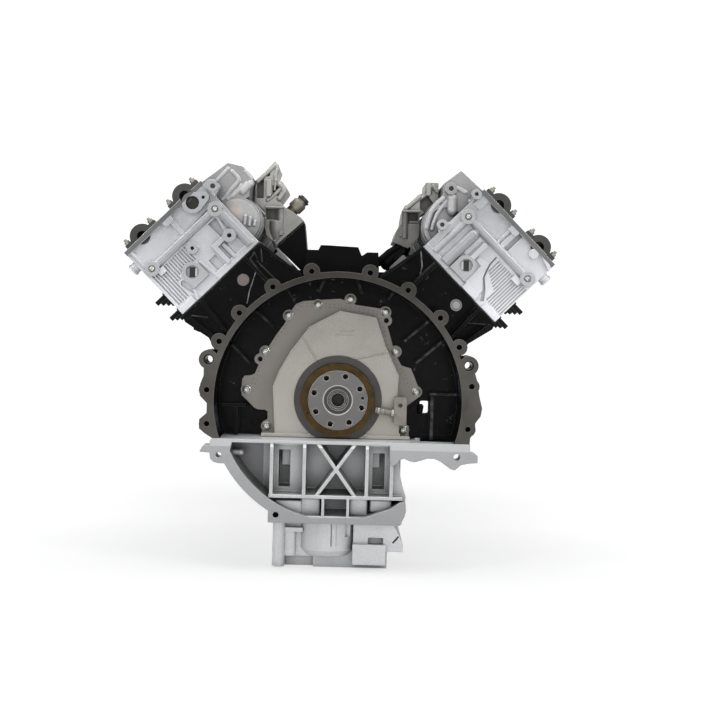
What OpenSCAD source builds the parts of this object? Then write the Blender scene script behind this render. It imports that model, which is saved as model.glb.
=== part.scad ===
// Complete 90 degree V8 long block, seen from its flywheel end.
// The origin is the crank axis on the rear face of the crank flange, +Y runs
// forward to the damper and +Z is up. A bank frame has w outboard and h up the bore.

/* [Cylinders] */
// Cylinder bore
bore = 84; // [80:0.5:85]
// Piston stroke
stroke = 98.5; // [92:0.5:99]
// Distance between neighbouring cylinders of one bank
bore_pitch = 98; // [97:0.5:104]
// How far the right bank sits ahead of the left one
bank_stagger = 22; // [21:0.5:23]
// Connecting rod length between its eyes
rod_len = 160; // [157:0.5:164]
// Height of the block deck above the crank axis, up the bore
deck_h = 264; // [262:0.5:270]

/* [Crankshaft] */
// Radius of the main journals
main_r = 32.5; // [31:0.5:34]
// Radius of the crankpins
pin_r = 29; // [27:0.5:30]
// Running clearance of journals, on the radius
run_gap = 0.05; // [0.02:0.01:0.08]
// Radius of the flange that carries the flywheel
flange_r = 46.5; // [45.5:0.5:48]
// Thickness of that flange
flange_t = 14; // [12:0.5:15]
// Pitch circle of the eight flywheel holes
flange_pcd = 77.5; // [74:0.5:78]
// Radius of a flywheel hole, the core of an M10 thread
flange_hole_r = 4.25; // [4:0.05:4.6]
// Radius of the pilot recess in the crank flange
pilot_r = 10.4; // [9:0.1:12]
// Radius of the counterweights
counterweight_r = 82; // [76:0.5:84]
// Radius of the damper on the nose of the crankshaft
damper_r = 86; // [78:0.5:92]

/* [Bell housing] */
// Inner radius of the bell ring
bell_r = 190.5; // [188:0.5:192]
// Radial width of the ring's machined land
bell_land = 9.5; // [8:0.5:11]
// How far the bell flange stands behind the crank flange
bell_back = 25; // [22:0.5:30]
// Depth of the bell from its flange to the block's rear wall
bell_depth = 65; // [62:0.5:70]
// Radius of a bell bolt hole, the core of an M10 thread
bell_hole_r = 4.25; // [4:0.05:4.6]
// Radius of the two dowel holes
dowel_hole_r = 6; // [5:0.1:6.5]

/* [Sump] */
// Height of the joint between block and upper sump, below the crank axis
joint_drop = 60.5; // [58:0.5:62]
// Height of the upper sump
upper_sump_h = 127.5; // [120:0.5:132]
// Height of the lower sump
lower_sump_h = 80; // [70:0.5:90]
// Half width of the sump body
sump_half_w = 98; // [94:0.5:100]
// Wall of both sumps
sump_wall = 6; // [5:0.5:7]

/* [Cylinder heads] */
// Height of a head from the deck to its open top
head_h = 133; // [131:0.5:138]
// Outboard half width of a head
head_out_w = 84; // [82:0.5:87]
// Valley side half width of a head
head_in_w = 81; // [80:0.5:84]
// Head length beyond the end cylinders' centres
head_over = 88; // [86:0.5:90]
// Head gasket thickness
gasket_t = 1.2; // [1:0.1:1.6]

/* [Valve train] */
// Distance of each camshaft from the bank's centre line
cam_w = 46; // [45:0.5:47]
// Radius of the camshaft journals
cam_journal_r = 13; // [12:0.5:13.5]
// Base circle radius of a lobe
lobe_base_r = 17; // [16:0.1:17]
// Nose radius of a lobe
lobe_nose_r = 9; // [8.5:0.1:9.5]
// Lift of a lobe at the roller
lobe_lift = 3.8; // [3.4:0.1:4]
// Valve spacing across the bank, from the centre line
valve_w = 20; // [19:0.5:20.5]
// Valve spacing along the bank, from the cylinder's centre
valve_y = 17.5; // [17:0.5:18]
// Radius of the valve heads
valve_r = 14; // [13:0.5:14.5]
// Teeth of each camshaft gear
cam_gear_teeth = 46; // [46:1:46]

/* [Hidden] */
$fn = 96;
seat_gap = 0.2;
throw = stroke / 2;
rear_main_y = 62;
main_w = 24;
rod_w = bank_stagger - 0.5;
pin_w = 2 * bank_stagger + 1;
web_t = (bore_pitch - main_w - pin_w) / 2;
shell_t = 2.5;
main_y = [for (i = [0:4]) rear_main_y + i * bore_pitch];
pin_y = [for (i = [0:3]) rear_main_y + (i + 0.5) * bore_pitch];
pin_angle = [0, 90, 270, 180];
wall_y = bell_depth - bell_back;
bulkhead_t = 22;
block_front = main_y[4] + 28;
joint_z = -joint_drop;
sump_joint_z = joint_z - upper_sump_h;
foot_z = sump_joint_z - lower_sump_h;
skirt_w = 116;
case_r = 101;
bell_out_r = bell_r + bell_land;
bank_in_w = 62;
bank_out_w = 66;
bank_foot_h = 88;
head_y0 = pin_y[0] - head_over;
head_y1 = pin_y[3] + head_over;
head_z0 = deck_h + gasket_t;
head_top = head_z0 + head_h;
cam_h = head_top;
tray_h = head_top - 71;
tray_in_w = head_in_w - 8;
tray_out_w = head_out_w - 8;
valley_z = 108;
// Bearing stations of a camshaft, in bank y
cam_station = concat([head_y0 + 8], pin_y, [head_y1 - 8]);
cap_r = 20;
cap_t = 12;
// How far a flat coolant pipe stands inboard of its bank's middle
pipe_w = 94.5;
// Bore in a camshaft's rear end
cam_end_bore = 8.5;
cap_bolt_w = 25;
gear_y = head_y1 + 3;
gear_t = 12;
sprocket_y = gear_y + gear_t + 4;
sprocket_t = 8;
chain_r_crank = 25.5;
chain_r_cam = 51;
chain_grow = 4.5;
cover_front_y = 556;
cover_wall = 8;
nose_r = 17;
damper_y = cover_front_y + 4;
damper_t = 38;
pivot_w = 66;
head_bolt_w = 36;
head_bolt_r = 5.5;
end_bolt_w = [-66.5, 69.5];
end_bolt_h = head_z0 + 84;
plenum_r = 37;
plenum_x = 168;
plenum_z = 280;
// Bell bolt holes by angle from the top and distance outside the bell's bore
bell_upper = bell_points([[12.74, 13.52], [30.91, 11.95], [49.39, 12.75], [64.49, 13.82]]);
bell_right_low = bell_points([[82.15, 16.74], [100.58, 13.77]]);
bell_left_low = bell_points([[-86.23, 11.64], [-100.92, 13.7]]);
dowel_at = bell_points([[73.3, 18.31]])[0];
function bell_points(list) =
    [for (p = list) (bell_r + p[1]) * [sin(p[0]), cos(p[0])]];

// Extrudes a drawing in x and z between two stations along the crank
module along_y(y0, y1) {
    translate([0, y1, 0]) rotate([90, 0, 0]) linear_extrude(y1 - y0) children();
}

// Round bar along the crank direction
module round_y(r, y0, y1, x = 0, z = 0) {
    translate([x, y1, z]) rotate([90, 0, 0]) cylinder(r = r, h = y1 - y0);
}

// Moves children into the frame of a bank: -1 is the left bank, 1 the right one
module bank(side) {
    translate([0, side * bank_stagger / 2, 0])
        if (side > 0) rotate([0, 45, 0]) children();
        else mirror([1, 0, 0]) rotate([0, 45, 0]) children();
}

// The same frame for a drawing in x and z
module bank_2d(side) {
    if (side > 0) rotate(-45) children();
    else mirror([1, 0]) rotate(-45) children();
}

// Flat bar of width w between two points of a drawing
module bar(p, q, w) {
    d = q - p;
    translate(p) rotate(atan2(d[1], d[0])) translate([0, -w / 2]) square([norm(d), w]);
}

// Annulus
module ring_2d(ro, ri) {
    difference() {
        circle(ro);
        circle(ri);
    }
}

// Rectangle with round corners, from its lower left corner
module soft_rect(size, r) {
    translate([r, 0]) square([size[0] - 2 * r, size[1]]);
    translate([0, r]) square([size[0], size[1] - 2 * r]);
    for (x = [r, size[0] - r], y = [r, size[1] - r]) translate([x, y]) circle(r);
}

// Hexagon bolt head standing on z = 0, pointing up
module hex_head(across, h) {
    cylinder(r = across / sqrt(3), h = h, $fn = 6);
}

// Cylinder block

module block_bank(side) {
    bank(side) {
        translate([-bank_in_w, head_y0, bank_foot_h])
            cube([bank_in_w + bank_out_w, head_y1 - head_y0, deck_h - bank_foot_h]);
        translate([-head_in_w, head_y0, deck_h - 14])
            cube([head_in_w + head_out_w + 2, head_y1 - head_y0, 14]);
        for (y = main_y) translate([bank_out_w - 1, y - 4, 120])
            cube([head_out_w - bank_out_w - 3, 8, deck_h - 130]);
    }
    // Shoulder between the bell ring and the deck
    translate([0, side * bank_stagger / 2, 0]) along_y(head_y0 - 2, head_y0 + 14)
        mirror([side < 0 ? 1 : 0, 0]) polygon([[55, 185], [62, 192], [128, 243],
            [247, 125], [243, 116], [205, 92], [186, 55], [120, 120]]);
    // Ribs that brace the ring against the shoulder
    along_y(-8, head_y0 + side * bank_stagger / 2 + 2) mirror([side < 0 ? 1 : 0, 0]) {
        bar([60, 192], [127, 241], 4);
        bar([172, 100], [217, 149], 5);
        bar([193, 92], [234, 123], 5);
        bar([115, 184], [150, 217], 5);
    }
}

module bell_ring() {
    difference() {
        union() {
            along_y(-bell_back, wall_y + 12) ring_2d(bell_out_r, bell_r - 0.01);
            for (s = [-1, 1]) along_y(-bell_back, 12) for (p = bell_upper)
                translate([s * p[0], p[1]]) circle(12.8);
            along_y(-bell_back, 12) for (p = concat(bell_right_low, bell_left_low))
                translate(p) circle(12);
            along_y(-bell_back, 16) for (s = [-1, 1])
                translate([s * dowel_at[0], dowel_at[1]]) circle(15);
            along_y(-bell_back, -5) scale(bell_r / 190.5) polygon([[180, 75], [208, 55], [214, 35], [217, 15],
                [222, -5], [220, -17], [212, -28], [212, -42], [205, -50],
                [204, joint_z], [180, joint_z]]);
            along_y(-bell_back, -5) scale(bell_r / 190.5) polygon([[-180, 75], [-207, 52], [-207, 35],
                [-212, 22], [-212, 4], [-201, -7], [-201, -22], [-212, -32],
                [-212, -46], [-204, -53], [-192, joint_z], [-180, joint_z]]);
        }
        round_y(bell_r, -bell_back - 1, wall_y);
        translate([-300, -bell_back - 1, joint_z - 300]) cube([600, 200, 300]);
    }
}

module bell_holes() {
    for (s = [-1, 1], p = bell_upper)
        round_y(bell_hole_r, -bell_back - 1, 5, s * p[0], p[1]);
    for (p = concat(bell_right_low, bell_left_low))
        round_y(bell_hole_r, -bell_back - 1, 5, p[0], p[1]);
    for (s = [-1, 1]) {
        round_y(dowel_hole_r, -bell_back - 1, 17, s * dowel_at[0], dowel_at[1]);
        round_y(dowel_hole_r + 2, -bell_back - 1, 4 - bell_back, s * dowel_at[0],
            dowel_at[1]);
    }
}

// Ribs in the floor of the bell, between ring and rear wall
module bell_ribs() {
    along_y(wall_y - 20, wall_y + 1) {
        for (s = [-1, 1]) {
            bar([s * 76, 160], [s * 88, 178], 4);
            bar([s * 34, 168], [s * 26, 190], 4);
        }
        bar([103, 94], [142, 128], 4);
        bar([122, 60], [166, 98], 4);
        bar([-106, 113], [-132, 136], 4);
        bar([-141, 54], [-170, 82], 4);
        bar([145, 11.5], [191, 11.5], 4);
        bar([149, 8], [149, joint_z], 5);
        bar([-184, -13], [-145, -13], 5);
        bar([-160, -13], [-160, joint_z], 5);
    }
}

// Crankcase, banks, rear wall and mount pads, before anything is bored
module block_casting() {
    along_y(wall_y, block_front) polygon([[-140, joint_z], [140, joint_z],
        [140, joint_z + 12], [skirt_w, joint_z + 12], [skirt_w, 30],
        [20, valley_z], [-20, valley_z], [-skirt_w, 30],
        [-skirt_w, joint_z + 12], [-140, joint_z + 12]]);
    for (side = [-1, 1]) block_bank(side);
    along_y(wall_y - 1, wall_y + 12) intersection() {
        circle(bell_r + 1);
        translate([-200, joint_z]) square([400, 270]);
    }
    bell_ring();
    along_y(150, 250) polygon([[160, 97], [230, 97], [242, 109], [242, 122],
        [160, 122]]);
    along_y(150, 250) polygon([[-160, 97], [-240, 97], [-250, 101], [-250, 119],
        [-160, 119]]);
}

module cylinder_block() {
    color([0.05, 0.05, 0.055]) difference() {
        union() {
            difference() {
                block_casting();
                // The bell is open as far as the rear wall
                round_y(bell_r, -bell_back - 1, wall_y);
            }
            bell_ribs();
        }
        bell_holes();
        // Crank chamber, open to the sump
        translate([-case_r, main_y[0] - bulkhead_t / 2, joint_z - 1])
            cube([2 * case_r, main_y[4] - main_y[0] + bulkhead_t, joint_drop + 1]);
        for (i = [0:3])
            round_y(case_r, main_y[i] + bulkhead_t / 2, main_y[i + 1] - bulkhead_t / 2);
        round_y(main_r + shell_t, main_y[0] - bulkhead_t, main_y[4] + bulkhead_t);
        round_y(60, wall_y - 1, main_y[0] - bulkhead_t / 2 + 0.5);
        round_y(40, main_y[4], block_front + 1);
        // Bores
        for (side = [-1, 1]) bank(side) {
            for (y = pin_y) translate([0, y, 70]) cylinder(d = bore, h = deck_h);
            for (y = main_y, s = [-1, 1])
                translate([s * head_bolt_w, y, deck_h - 62])
                    cylinder(r = head_bolt_r + 0.1, h = 70);
        }
        // Main cap bolts
        for (y = main_y, s = [-1, 1])
            translate([s * (main_r + 16), y, -1]) cylinder(r = 6.1, h = 31);
        // Core plug seats in the rear walls and along the sides
        for (side = [-1, 1]) bank(side) {
            round_y(plug_r + 0.2, head_y0 - 3, head_y0 + 9, side * plug_w, plug_h);
            for (y = pin_y) translate([bank_out_w - 8, y, 190]) rotate([0, 90, 0])
                cylinder(r = 17, h = 20);
        }
        // Window in the rear wall
        along_y(wall_y - 1, wall_y + 13) translate([131, -21]) soft_rect([14, 20], 3);
        rear_cover_holes(wall_y - 1, wall_y + 11);
    }
}

// Core plug in each bank's rear wall
plug_r = 9.4;
plug_w = 22;
plug_h = 239;

module core_plugs() {
    color([0.72, 0.72, 0.7]) for (side = [-1, 1]) bank(side) {
        round_y(plug_r, head_y0 - 1, head_y0 + 8.8, side * plug_w, plug_h);
        for (y = pin_y) translate([bank_out_w - 7.8, y, 190]) rotate([0, 90, 0])
            difference() {
                cylinder(r = 16.8, h = 7);
                translate([0, 0, 2]) cylinder(r = 15, h = 6);
            }
    }
}

// Main bearings

module main_bearing_caps() {
    color([0.2, 0.2, 0.21]) for (y = main_y) difference() {
        along_y(y - bulkhead_t / 2 + 0.3, y + bulkhead_t / 2 - 0.3) difference() {
            polygon([[-66, -0.1], [66, -0.1], [66, -30], [42, -50], [-42, -50],
                [-66, -30]]);
            circle(main_r + shell_t);
        }
        for (s = [-1, 1]) translate([s * (main_r + 16), y, -60])
            cylinder(r = 6.1, h = 70);
        for (s = [-1, 1]) translate([s * (main_r + 16), y, -61])
            cylinder(r = 10.5, h = 21);
    }
}

module main_cap_bolts() {
    color([0.32, 0.3, 0.27]) for (y = main_y, s = [-1, 1])
        translate([s * (main_r + 16), y, 0]) {
            translate([0, 0, -40 + seat_gap - 0.3]) cylinder(r = 6, h = 68);
            translate([0, 0, -48]) hex_head(16, 8 - 0.1);
        }
}

module main_bearing_shells() {
    color([0.6, 0.56, 0.5]) for (y = main_y, turn = [0, 180])
        along_y(y - 10, y + 10) rotate(turn) difference() {
            ring_2d(main_r + shell_t - 0.02, main_r + run_gap);
            translate([-50, -50]) square([100, 50.02]);
        }
}

// Crankshaft

// Web with its counterweight, for a pin standing at the given angle from +Z
module crank_web(angle) {
    rotate(-angle) {
        circle(main_r + 9);
        translate([0, throw]) circle(pin_r + 8);
        polygon([[-main_r - 8, 0], [main_r + 8, 0], [pin_r + 7, throw],
            [-pin_r - 7, throw]]);
        intersection() {
            circle(counterweight_r);
            polygon([[-main_r - 8, 0], [main_r + 8, 0], [90, -62], [90, -100],
                [-90, -100], [-90, -62]]);
        }
    }
}

module crankshaft() {
    color([0.33, 0.32, 0.31]) difference() {
        union() {
            round_y(flange_r, 0, flange_t);
            round_y(flange_r - 4.5, flange_t - 1, main_y[0] - main_w / 2 - 3);
            round_y(main_r + 5, main_y[0] - main_w / 2 - 4, main_y[0] - main_w / 2);
            for (y = main_y) round_y(main_r, y - main_w / 2 - 1, y + main_w / 2 + 1);
            for (i = [0:3]) {
                along_y(pin_y[i] - pin_w / 2 - web_t, pin_y[i] - pin_w / 2)
                    crank_web(pin_angle[i]);
                along_y(pin_y[i] + pin_w / 2, pin_y[i] + pin_w / 2 + web_t)
                    crank_web(pin_angle[i]);
                round_y(pin_r, pin_y[i] - pin_w / 2 - 1, pin_y[i] + pin_w / 2 + 1,
                    throw * sin(pin_angle[i]), throw * cos(pin_angle[i]));
            }
            round_y(main_r - 4, main_y[4] + main_w / 2, block_front + 4);
            round_y(nose_r, block_front, damper_y + damper_t - 8);
        }
        // Flywheel holes, dowel hole and the stepped pilot recess
        for (k = [0:7]) rotate([0, -28.5 - 45 * k, 0])
            round_y(flange_hole_r, -1, flange_t + 8, flange_pcd / 2);
        rotate([0, -6, 0]) round_y(2.6, -1, 8, flange_pcd / 2);
        round_y(23, -1, 3);
        round_y(13.7, -1, 6);
        round_y(pilot_r, -1, 24);
        round_y(6, damper_y + damper_t - 60, damper_y + damper_t);
    }
}

module reluctor_ring() {
    color([0.45, 0.35, 0.12]) difference() {
        along_y(2, 6) ring_2d(57.3, flange_r + 0.15);
        round_y(2.2, 1, 7, -46, -21);
    }
    color([0.45, 0.35, 0.12]) along_y(6, 11) difference() {
        ring_2d(57.3, flange_r + 0.15);
        for (k = [0:59]) rotate(6 * k) translate([54.5, -1.4]) square([4, 2.8]);
    }
}

// Teeth of a chain sprocket, as a drawing
module sprocket_2d(r, teeth) {
    circle(r - 3.4);
    for (k = [0:teeth - 1]) rotate(360 / teeth * k)
        polygon([[r - 4.5, -2.6], [r - 0.4, -1], [r - 0.4, 1], [r - 4.5, 2.6]]);
}

module crank_sprocket() {
    color([0.4, 0.4, 0.41]) difference() {
        union() {
            for (side = [-1, 1]) {
                y = sprocket_y + side * bank_stagger / 2;
                along_y(y, y + sprocket_t) sprocket_2d(chain_r_crank, 20);
            }
            round_y(nose_r + 3, block_front + 4.2, cover_front_y - 14);
        }
        round_y(nose_r + 0.02, block_front, cover_front_y);
    }
}

module crank_damper() {
    color([0.1, 0.1, 0.1]) {
        difference() {
            union() {
                along_y(damper_y + 8, damper_y + damper_t) ring_2d(damper_r, damper_r - 20);
                along_y(damper_y + 12, damper_y + 22) ring_2d(damper_r - 19, 30);
                along_y(damper_y, damper_y + damper_t - 8) ring_2d(31, nose_r + 0.02);
            }
            // Belt grooves
            for (g = [0:4]) along_y(damper_y + 12 + 5 * g, damper_y + 14.4 + 5 * g)
                ring_2d(damper_r + 1, damper_r - 3);
            for (k = [0:5]) rotate([0, 60 * k, 0])
                round_y(9, damper_y + 10, damper_y + 24, 49);
        }
    }
}

module damper_bolt() {
    color([0.3, 0.3, 0.3]) translate([0, damper_y + damper_t - 8 + seat_gap, 0])
        rotate([-90, 0, 0]) {
            cylinder(r = 27, h = 5);
            translate([0, 0, 5]) hex_head(27, 13);
            translate([0, 0, -50]) cylinder(r = 5.9, h = 51);
        }
}

// Pistons and rods, posed for pins standing at their rest angles

// Angle of pin i after the top of its stroke, in the bank's own sense
function pin_rel(side, i) = pin_angle[i] - 45 * side;
// Place of the pin in the bank frame
function pin_w_at(side, i) = side * throw * sin(pin_rel(side, i));
function pin_h_at(side, i) = throw * cos(pin_rel(side, i));
// Height of the wrist pin
function wrist_h(side, i) =
    pin_h_at(side, i) + sqrt(rod_len * rod_len - pow(pin_w_at(side, i), 2));
// Lean of the rod
function rod_lean(side, i) = asin(pin_w_at(side, i) / rod_len);
piston_crown = 50;
piston_skirt = 22;
wrist_r = 14;

module each_cylinder() {
    for (side = [-1, 1], i = [0:3]) bank(side) translate([0, pin_y[i], 0]) {
        $side = side;
        $i = i;
        children();
    }
}

module pistons() {
    color([0.7, 0.7, 0.71]) each_cylinder() translate([0, 0, wrist_h($side, $i)])
        difference() {
            translate([0, 0, -piston_skirt])
                cylinder(r = bore / 2 - 0.08, h = piston_skirt + piston_crown - 12);
            // Ring grooves
            for (k = [0:2]) translate([0, 0, 18 + 7 * k]) difference() {
                cylinder(r = bore / 2 + 1, h = 2.6);
                translate([0, 0, -1]) cylinder(r = bore / 2 - 4, h = 5);
            }
            // Bowl in the crown
            translate([0, 0, piston_crown - 12 - 9]) rotate_extrude()
                polygon([[0, 4], [6, 3], [14, 0], [20, 1], [23, 4.5], [21, 10], [0, 10]]);
            // Hollow under the crown, with a boss left at each end of the pin
            difference() {
                translate([0, 0, -piston_skirt - 1]) cylinder(r = 33, h = piston_skirt + 22.5);
                for (s = [-1, 1]) translate([0, s * 27, 0]) rotate([90, 0, 0])
                    cylinder(r = 22, h = 30, center = true);
            }
            rotate([90, 0, 0]) cylinder(r = wrist_r + 0.03, h = 90, center = true);
            // Skirt cut away at the pin ends
            for (s = [-1, 1]) translate([-50, s > 0 ? 36 : -86, -piston_skirt - 1])
                cube([100, 50, piston_skirt + 12]);
        }
}

module piston_rings() {
    color([0.35, 0.35, 0.36]) each_cylinder() for (k = [0:2])
        translate([0, 0, wrist_h($side, $i) + 18.2 + 7 * k]) difference() {
            cylinder(r = bore / 2 - 0.02, h = 2.2);
            translate([0, 0, -1]) cylinder(r = bore / 2 - 3.8, h = 5);
        }
}

module wrist_pins() {
    color([0.6, 0.6, 0.62]) each_cylinder() translate([0, 0, wrist_h($side, $i)])
        rotate([90, 0, 0]) difference() {
            cylinder(r = wrist_r, h = 68, center = true);
            cylinder(r = 7, h = 70, center = true);
        }
}

// Frame of a rod: origin in the big end's eye, +Z towards the wrist pin
module rod_frame() {
    translate([pin_w_at($side, $i), 0, pin_h_at($side, $i)])
        rotate([0, -rod_lean($side, $i), 0]) children();
}

big_end_r = pin_r + shell_t + 6;

module rod_drawing() {
    circle(big_end_r);
    translate([-big_end_r - 4, -14]) square([2 * big_end_r + 8, 28]);
    polygon([[-21, 10], [21, 10], [10, rod_len - 16], [-10, rod_len - 16]]);
    translate([0, rod_len]) circle(wrist_r + 6);
}

module connecting_rods() {
    color([0.36, 0.35, 0.34]) each_cylinder() rod_frame() difference() {
        along_y(-rod_w / 2, rod_w / 2) difference() {
            rod_drawing();
            circle(pin_r + run_gap);
            translate([0, rod_len]) circle(wrist_r + 0.04);
            translate([-60, -60]) square([120, 60]);
        }
        // I section of the shank
        for (s = [-1, 1]) along_y(s > 0 ? 4 : -12, s > 0 ? 12 : -4)
            polygon([[-12, big_end_r + 6], [12, big_end_r + 6], [6, rod_len - 28],
                [-6, rod_len - 28]]);
        for (s = [-1, 1]) translate([s * (pin_r + 9), 0, -20]) cylinder(r = 4.1, h = 31);
    }
}

module rod_caps() {
    color([0.36, 0.35, 0.34]) each_cylinder() rod_frame() difference() {
        along_y(-rod_w / 2, rod_w / 2) difference() {
            rod_drawing();
            circle(pin_r + run_gap);
            translate([-60, -0.05]) square([120, 260]);
        }
        for (s = [-1, 1]) translate([s * (pin_r + 9), 0, -20]) cylinder(r = 4.1, h = 31);
        for (s = [-1, 1]) translate([s * (pin_r + 9), 0, -44]) cylinder(r = 6.5, h = 30);
    }
}

module rod_bolts() {
    color([0.25, 0.25, 0.26]) each_cylinder() rod_frame() for (s = [-1, 1])
        translate([s * (pin_r + 9), 0, 0]) {
            translate([0, 0, -15]) cylinder(r = 4, h = 25);
            translate([0, 0, -21]) cylinder(r = 5.5, h = 6.8);
        }
}

// Rear cover

rear_bolt_at = [[-35, 148], [16, 158], [72, 139], [90, 77], [124, 14], [105, -47],
    [-111.7, -46], [-145, 11], [-117, 72], [-81, 130]];

module rear_cover_holes(y0, y1) {
    for (p = rear_bolt_at) round_y(3.1, y0, y1, p[0], p[1]);
}

module rear_cover_outline() {
    polygon([[0, 159], [-58, 154], [-70, 149], [-75, 142], [-87, 118], [-100, 100],
        [-112, 80], [-127, 51], [-133, 37], [-139, 34], [-149, 33], [-153, 27],
        [-153, 2], [-142, -8], [-133, -17], [-127, -20], [-115, -20.5], [-111, -23],
        [-111, -35], [-119, -40], [-119, joint_z + 0.5], [114, joint_z + 0.5],
        [114, -41], [107, -37], [105, -22], [108, -10], [129, 6], [129, 18], [115, 51],
        [100, 55], [93, 67], [85, 87], [76, 117], [70, 144], [25, 150]]);
    for (p = rear_bolt_at) translate(p) circle(9.5);
    translate([-125, 60]) circle(9);
    translate([74, 126]) circle(9);
}

module rear_cover() {
    color([0.66, 0.64, 0.6]) difference() {
        union() {
            along_y(wall_y - 12, wall_y - seat_gap) rear_cover_outline();
            // Raised body round the crank
            along_y(wall_y - 26, wall_y - 11.9) polygon([[0, 139], [-47, 113],
                [-75, 75], [-93, 42], [-102, 18], [-98, joint_z + 0.5],
                [100, joint_z + 0.5], [92, -10], [94, 40], [72, 87], [57, 130]]);
            round_y(78, 14, wall_y - 11.9);
            along_y(20, wall_y - 11.9) polygon([[-33, 63], [-54, 96], [-48, 100],
                [30, 90], [73, 76], [76, 70], [33, 62]]);
            // Bottom lip and its two stubs
            along_y(10, wall_y - 11.9) translate([-119, joint_z + 0.5]) square([233, 5]);
            for (x = [-44, 35]) along_y(8, 18) translate([x, -56]) square([11, 10]);
        }
        round_y(69, 0, wall_y + 1);
        rear_cover_holes(0, wall_y + 1);
        // Flats under the bolt heads
        for (p = rear_bolt_at) round_y(8.2, wall_y - 30, wall_y - 12, p[0], p[1]);
        round_y(4, wall_y - 30, wall_y + 1, -125, 60);
        round_y(4, wall_y - 30, wall_y + 1, 74, 126);
        // Nothing reaches below the sump joint
        translate([-200, 0, joint_z - 50]) cube([400, 60, 50.3]);
    }
}

module rear_cover_bolts() {
    color([0.78, 0.77, 0.72]) for (p = rear_bolt_at)
        translate([p[0], wall_y - 12 - seat_gap, p[1]]) rotate([90, 0, 0]) {
            cylinder(r = 7.2, h = 1.6);
            translate([0, 0, 1.6]) hex_head(10, 5.4);
            translate([0, 0, -20]) cylinder(r = 3, h = 20.2);
        }
}

module rear_seal() {
    color([0.19, 0.18, 0.17]) difference() {
        union() {
            along_y(12, wall_y - 1) ring_2d(68.7, 57.8);
            along_y(22, wall_y - 1) ring_2d(60, flange_r - 4.5 + 0.3);
        }
        translate([-100, 0, joint_z - 20]) cube([200, 60, 20.6]);
    }
}

module crank_speed_sensor() {
    color([0.75, 0.75, 0.76]) difference() {
        union() {
            translate([59, 6.5, -14.3]) rotate([0, 98, 0]) cylinder(r = 5, h = 34);
            along_y(2, 13) translate([88, -37]) soft_rect([20, 44], 4);
        }
        round_y(3.3, 0, 16, 98, -6);
    }
}

// Sump

module upper_sump() {
    top = joint_z - seat_gap;
    color([0.74, 0.75, 0.76]) difference() {
        union() {
            // Body under the crankcase, with its rail
            along_y(wall_y, block_front) translate([-sump_half_w - 5, sump_joint_z])
                square([2 * sump_half_w + 10, -joint_drop - sump_joint_z - seat_gap]);
            along_y(wall_y, block_front) translate([-140, top - 12]) square([280, 12]);
            along_y(wall_y, block_front) translate([-sump_half_w - 8, sump_joint_z])
                square([2 * sump_half_w + 16, 10]);
            // Lower arc of the bell, only on the left
            along_y(-bell_back, wall_y + 2) intersection() {
                ring_2d(bell_out_r - 1.5, bell_r - 8);
                polygon([[0, 0], [-260, -85], [-260, -260], [-60, -260]]);
            }
            // Rear wall behind the bell, ears and the foot of the bell
            along_y(wall_y, wall_y + 8) intersection() {
                circle(bell_out_r - 2);
                polygon([[-190, top], [100, top], [100, sump_joint_z],
                    [-120, sump_joint_z], [-190, -90]]);
            }
            along_y(-bell_back, 0) polygon([[-195, -65], [-195, -72], [-205, -72],
                [-210, -80], [-210, -82], [-195, -83], [-194, -92], [-189, -97],
                [-181, -99], [-168, -99], [-160, top], [-192, top]]);
            along_y(-bell_back, 0) polygon([[82, top], [205, top], [205, -75],
                [212, -75], [217, -78], [217, -89], [204, -90], [191, -93],
                [187, -97], [182, -101], [175, -99], [168, -94], [160, -88],
                [150, -84], [140, -84], [128, -88], [120, -90], [113, -89],
                [104, -85], [97, -87], [95, -92], [85, -98], [82, -90]]);
            along_y(-bell_back, wall_y + 2) polygon([[-103, -166], [-103, sump_joint_z],
                [100, sump_joint_z], [107, -174], [109, -166], [108, -152], [100, -152],
                [84, -163], [45, -177], [-40, -179], [-60, -172]]);
            // Top rail of the open face
            along_y(-bell_back, wall_y + 1) translate([-176, top - 5.5])
                square([300, 5.5]);
            sump_ribs();
            // Right flank
            along_y(-10, wall_y + 1) polygon([[83, top], [104, top], [96, -92],
                [101, -118], [104, -130], [109, -146], [109, -152], [83, -152]]);
        }
        // Inner trough
        translate([-sump_half_w + sump_wall, main_y[0] - 6, sump_joint_z - 1])
            cube([2 * (sump_half_w - sump_wall), main_y[4] - main_y[0] + 12, 200]);
        // Bolt holes of the bell
        round_y(bell_hole_r, -bell_back - 1, 5, -181, -86);
        round_y(4.6, -bell_back - 1, 5, -91, -176);
        round_y(5.2, -bell_back - 1, 5, 185, -81);
        // Nothing above the joint or below the lower one
        translate([-250, -60, top]) cube([500, 200, 50]);
        translate([-250, -60, sump_joint_z - 50]) cube([500, 200, 50]);
    }
}

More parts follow.
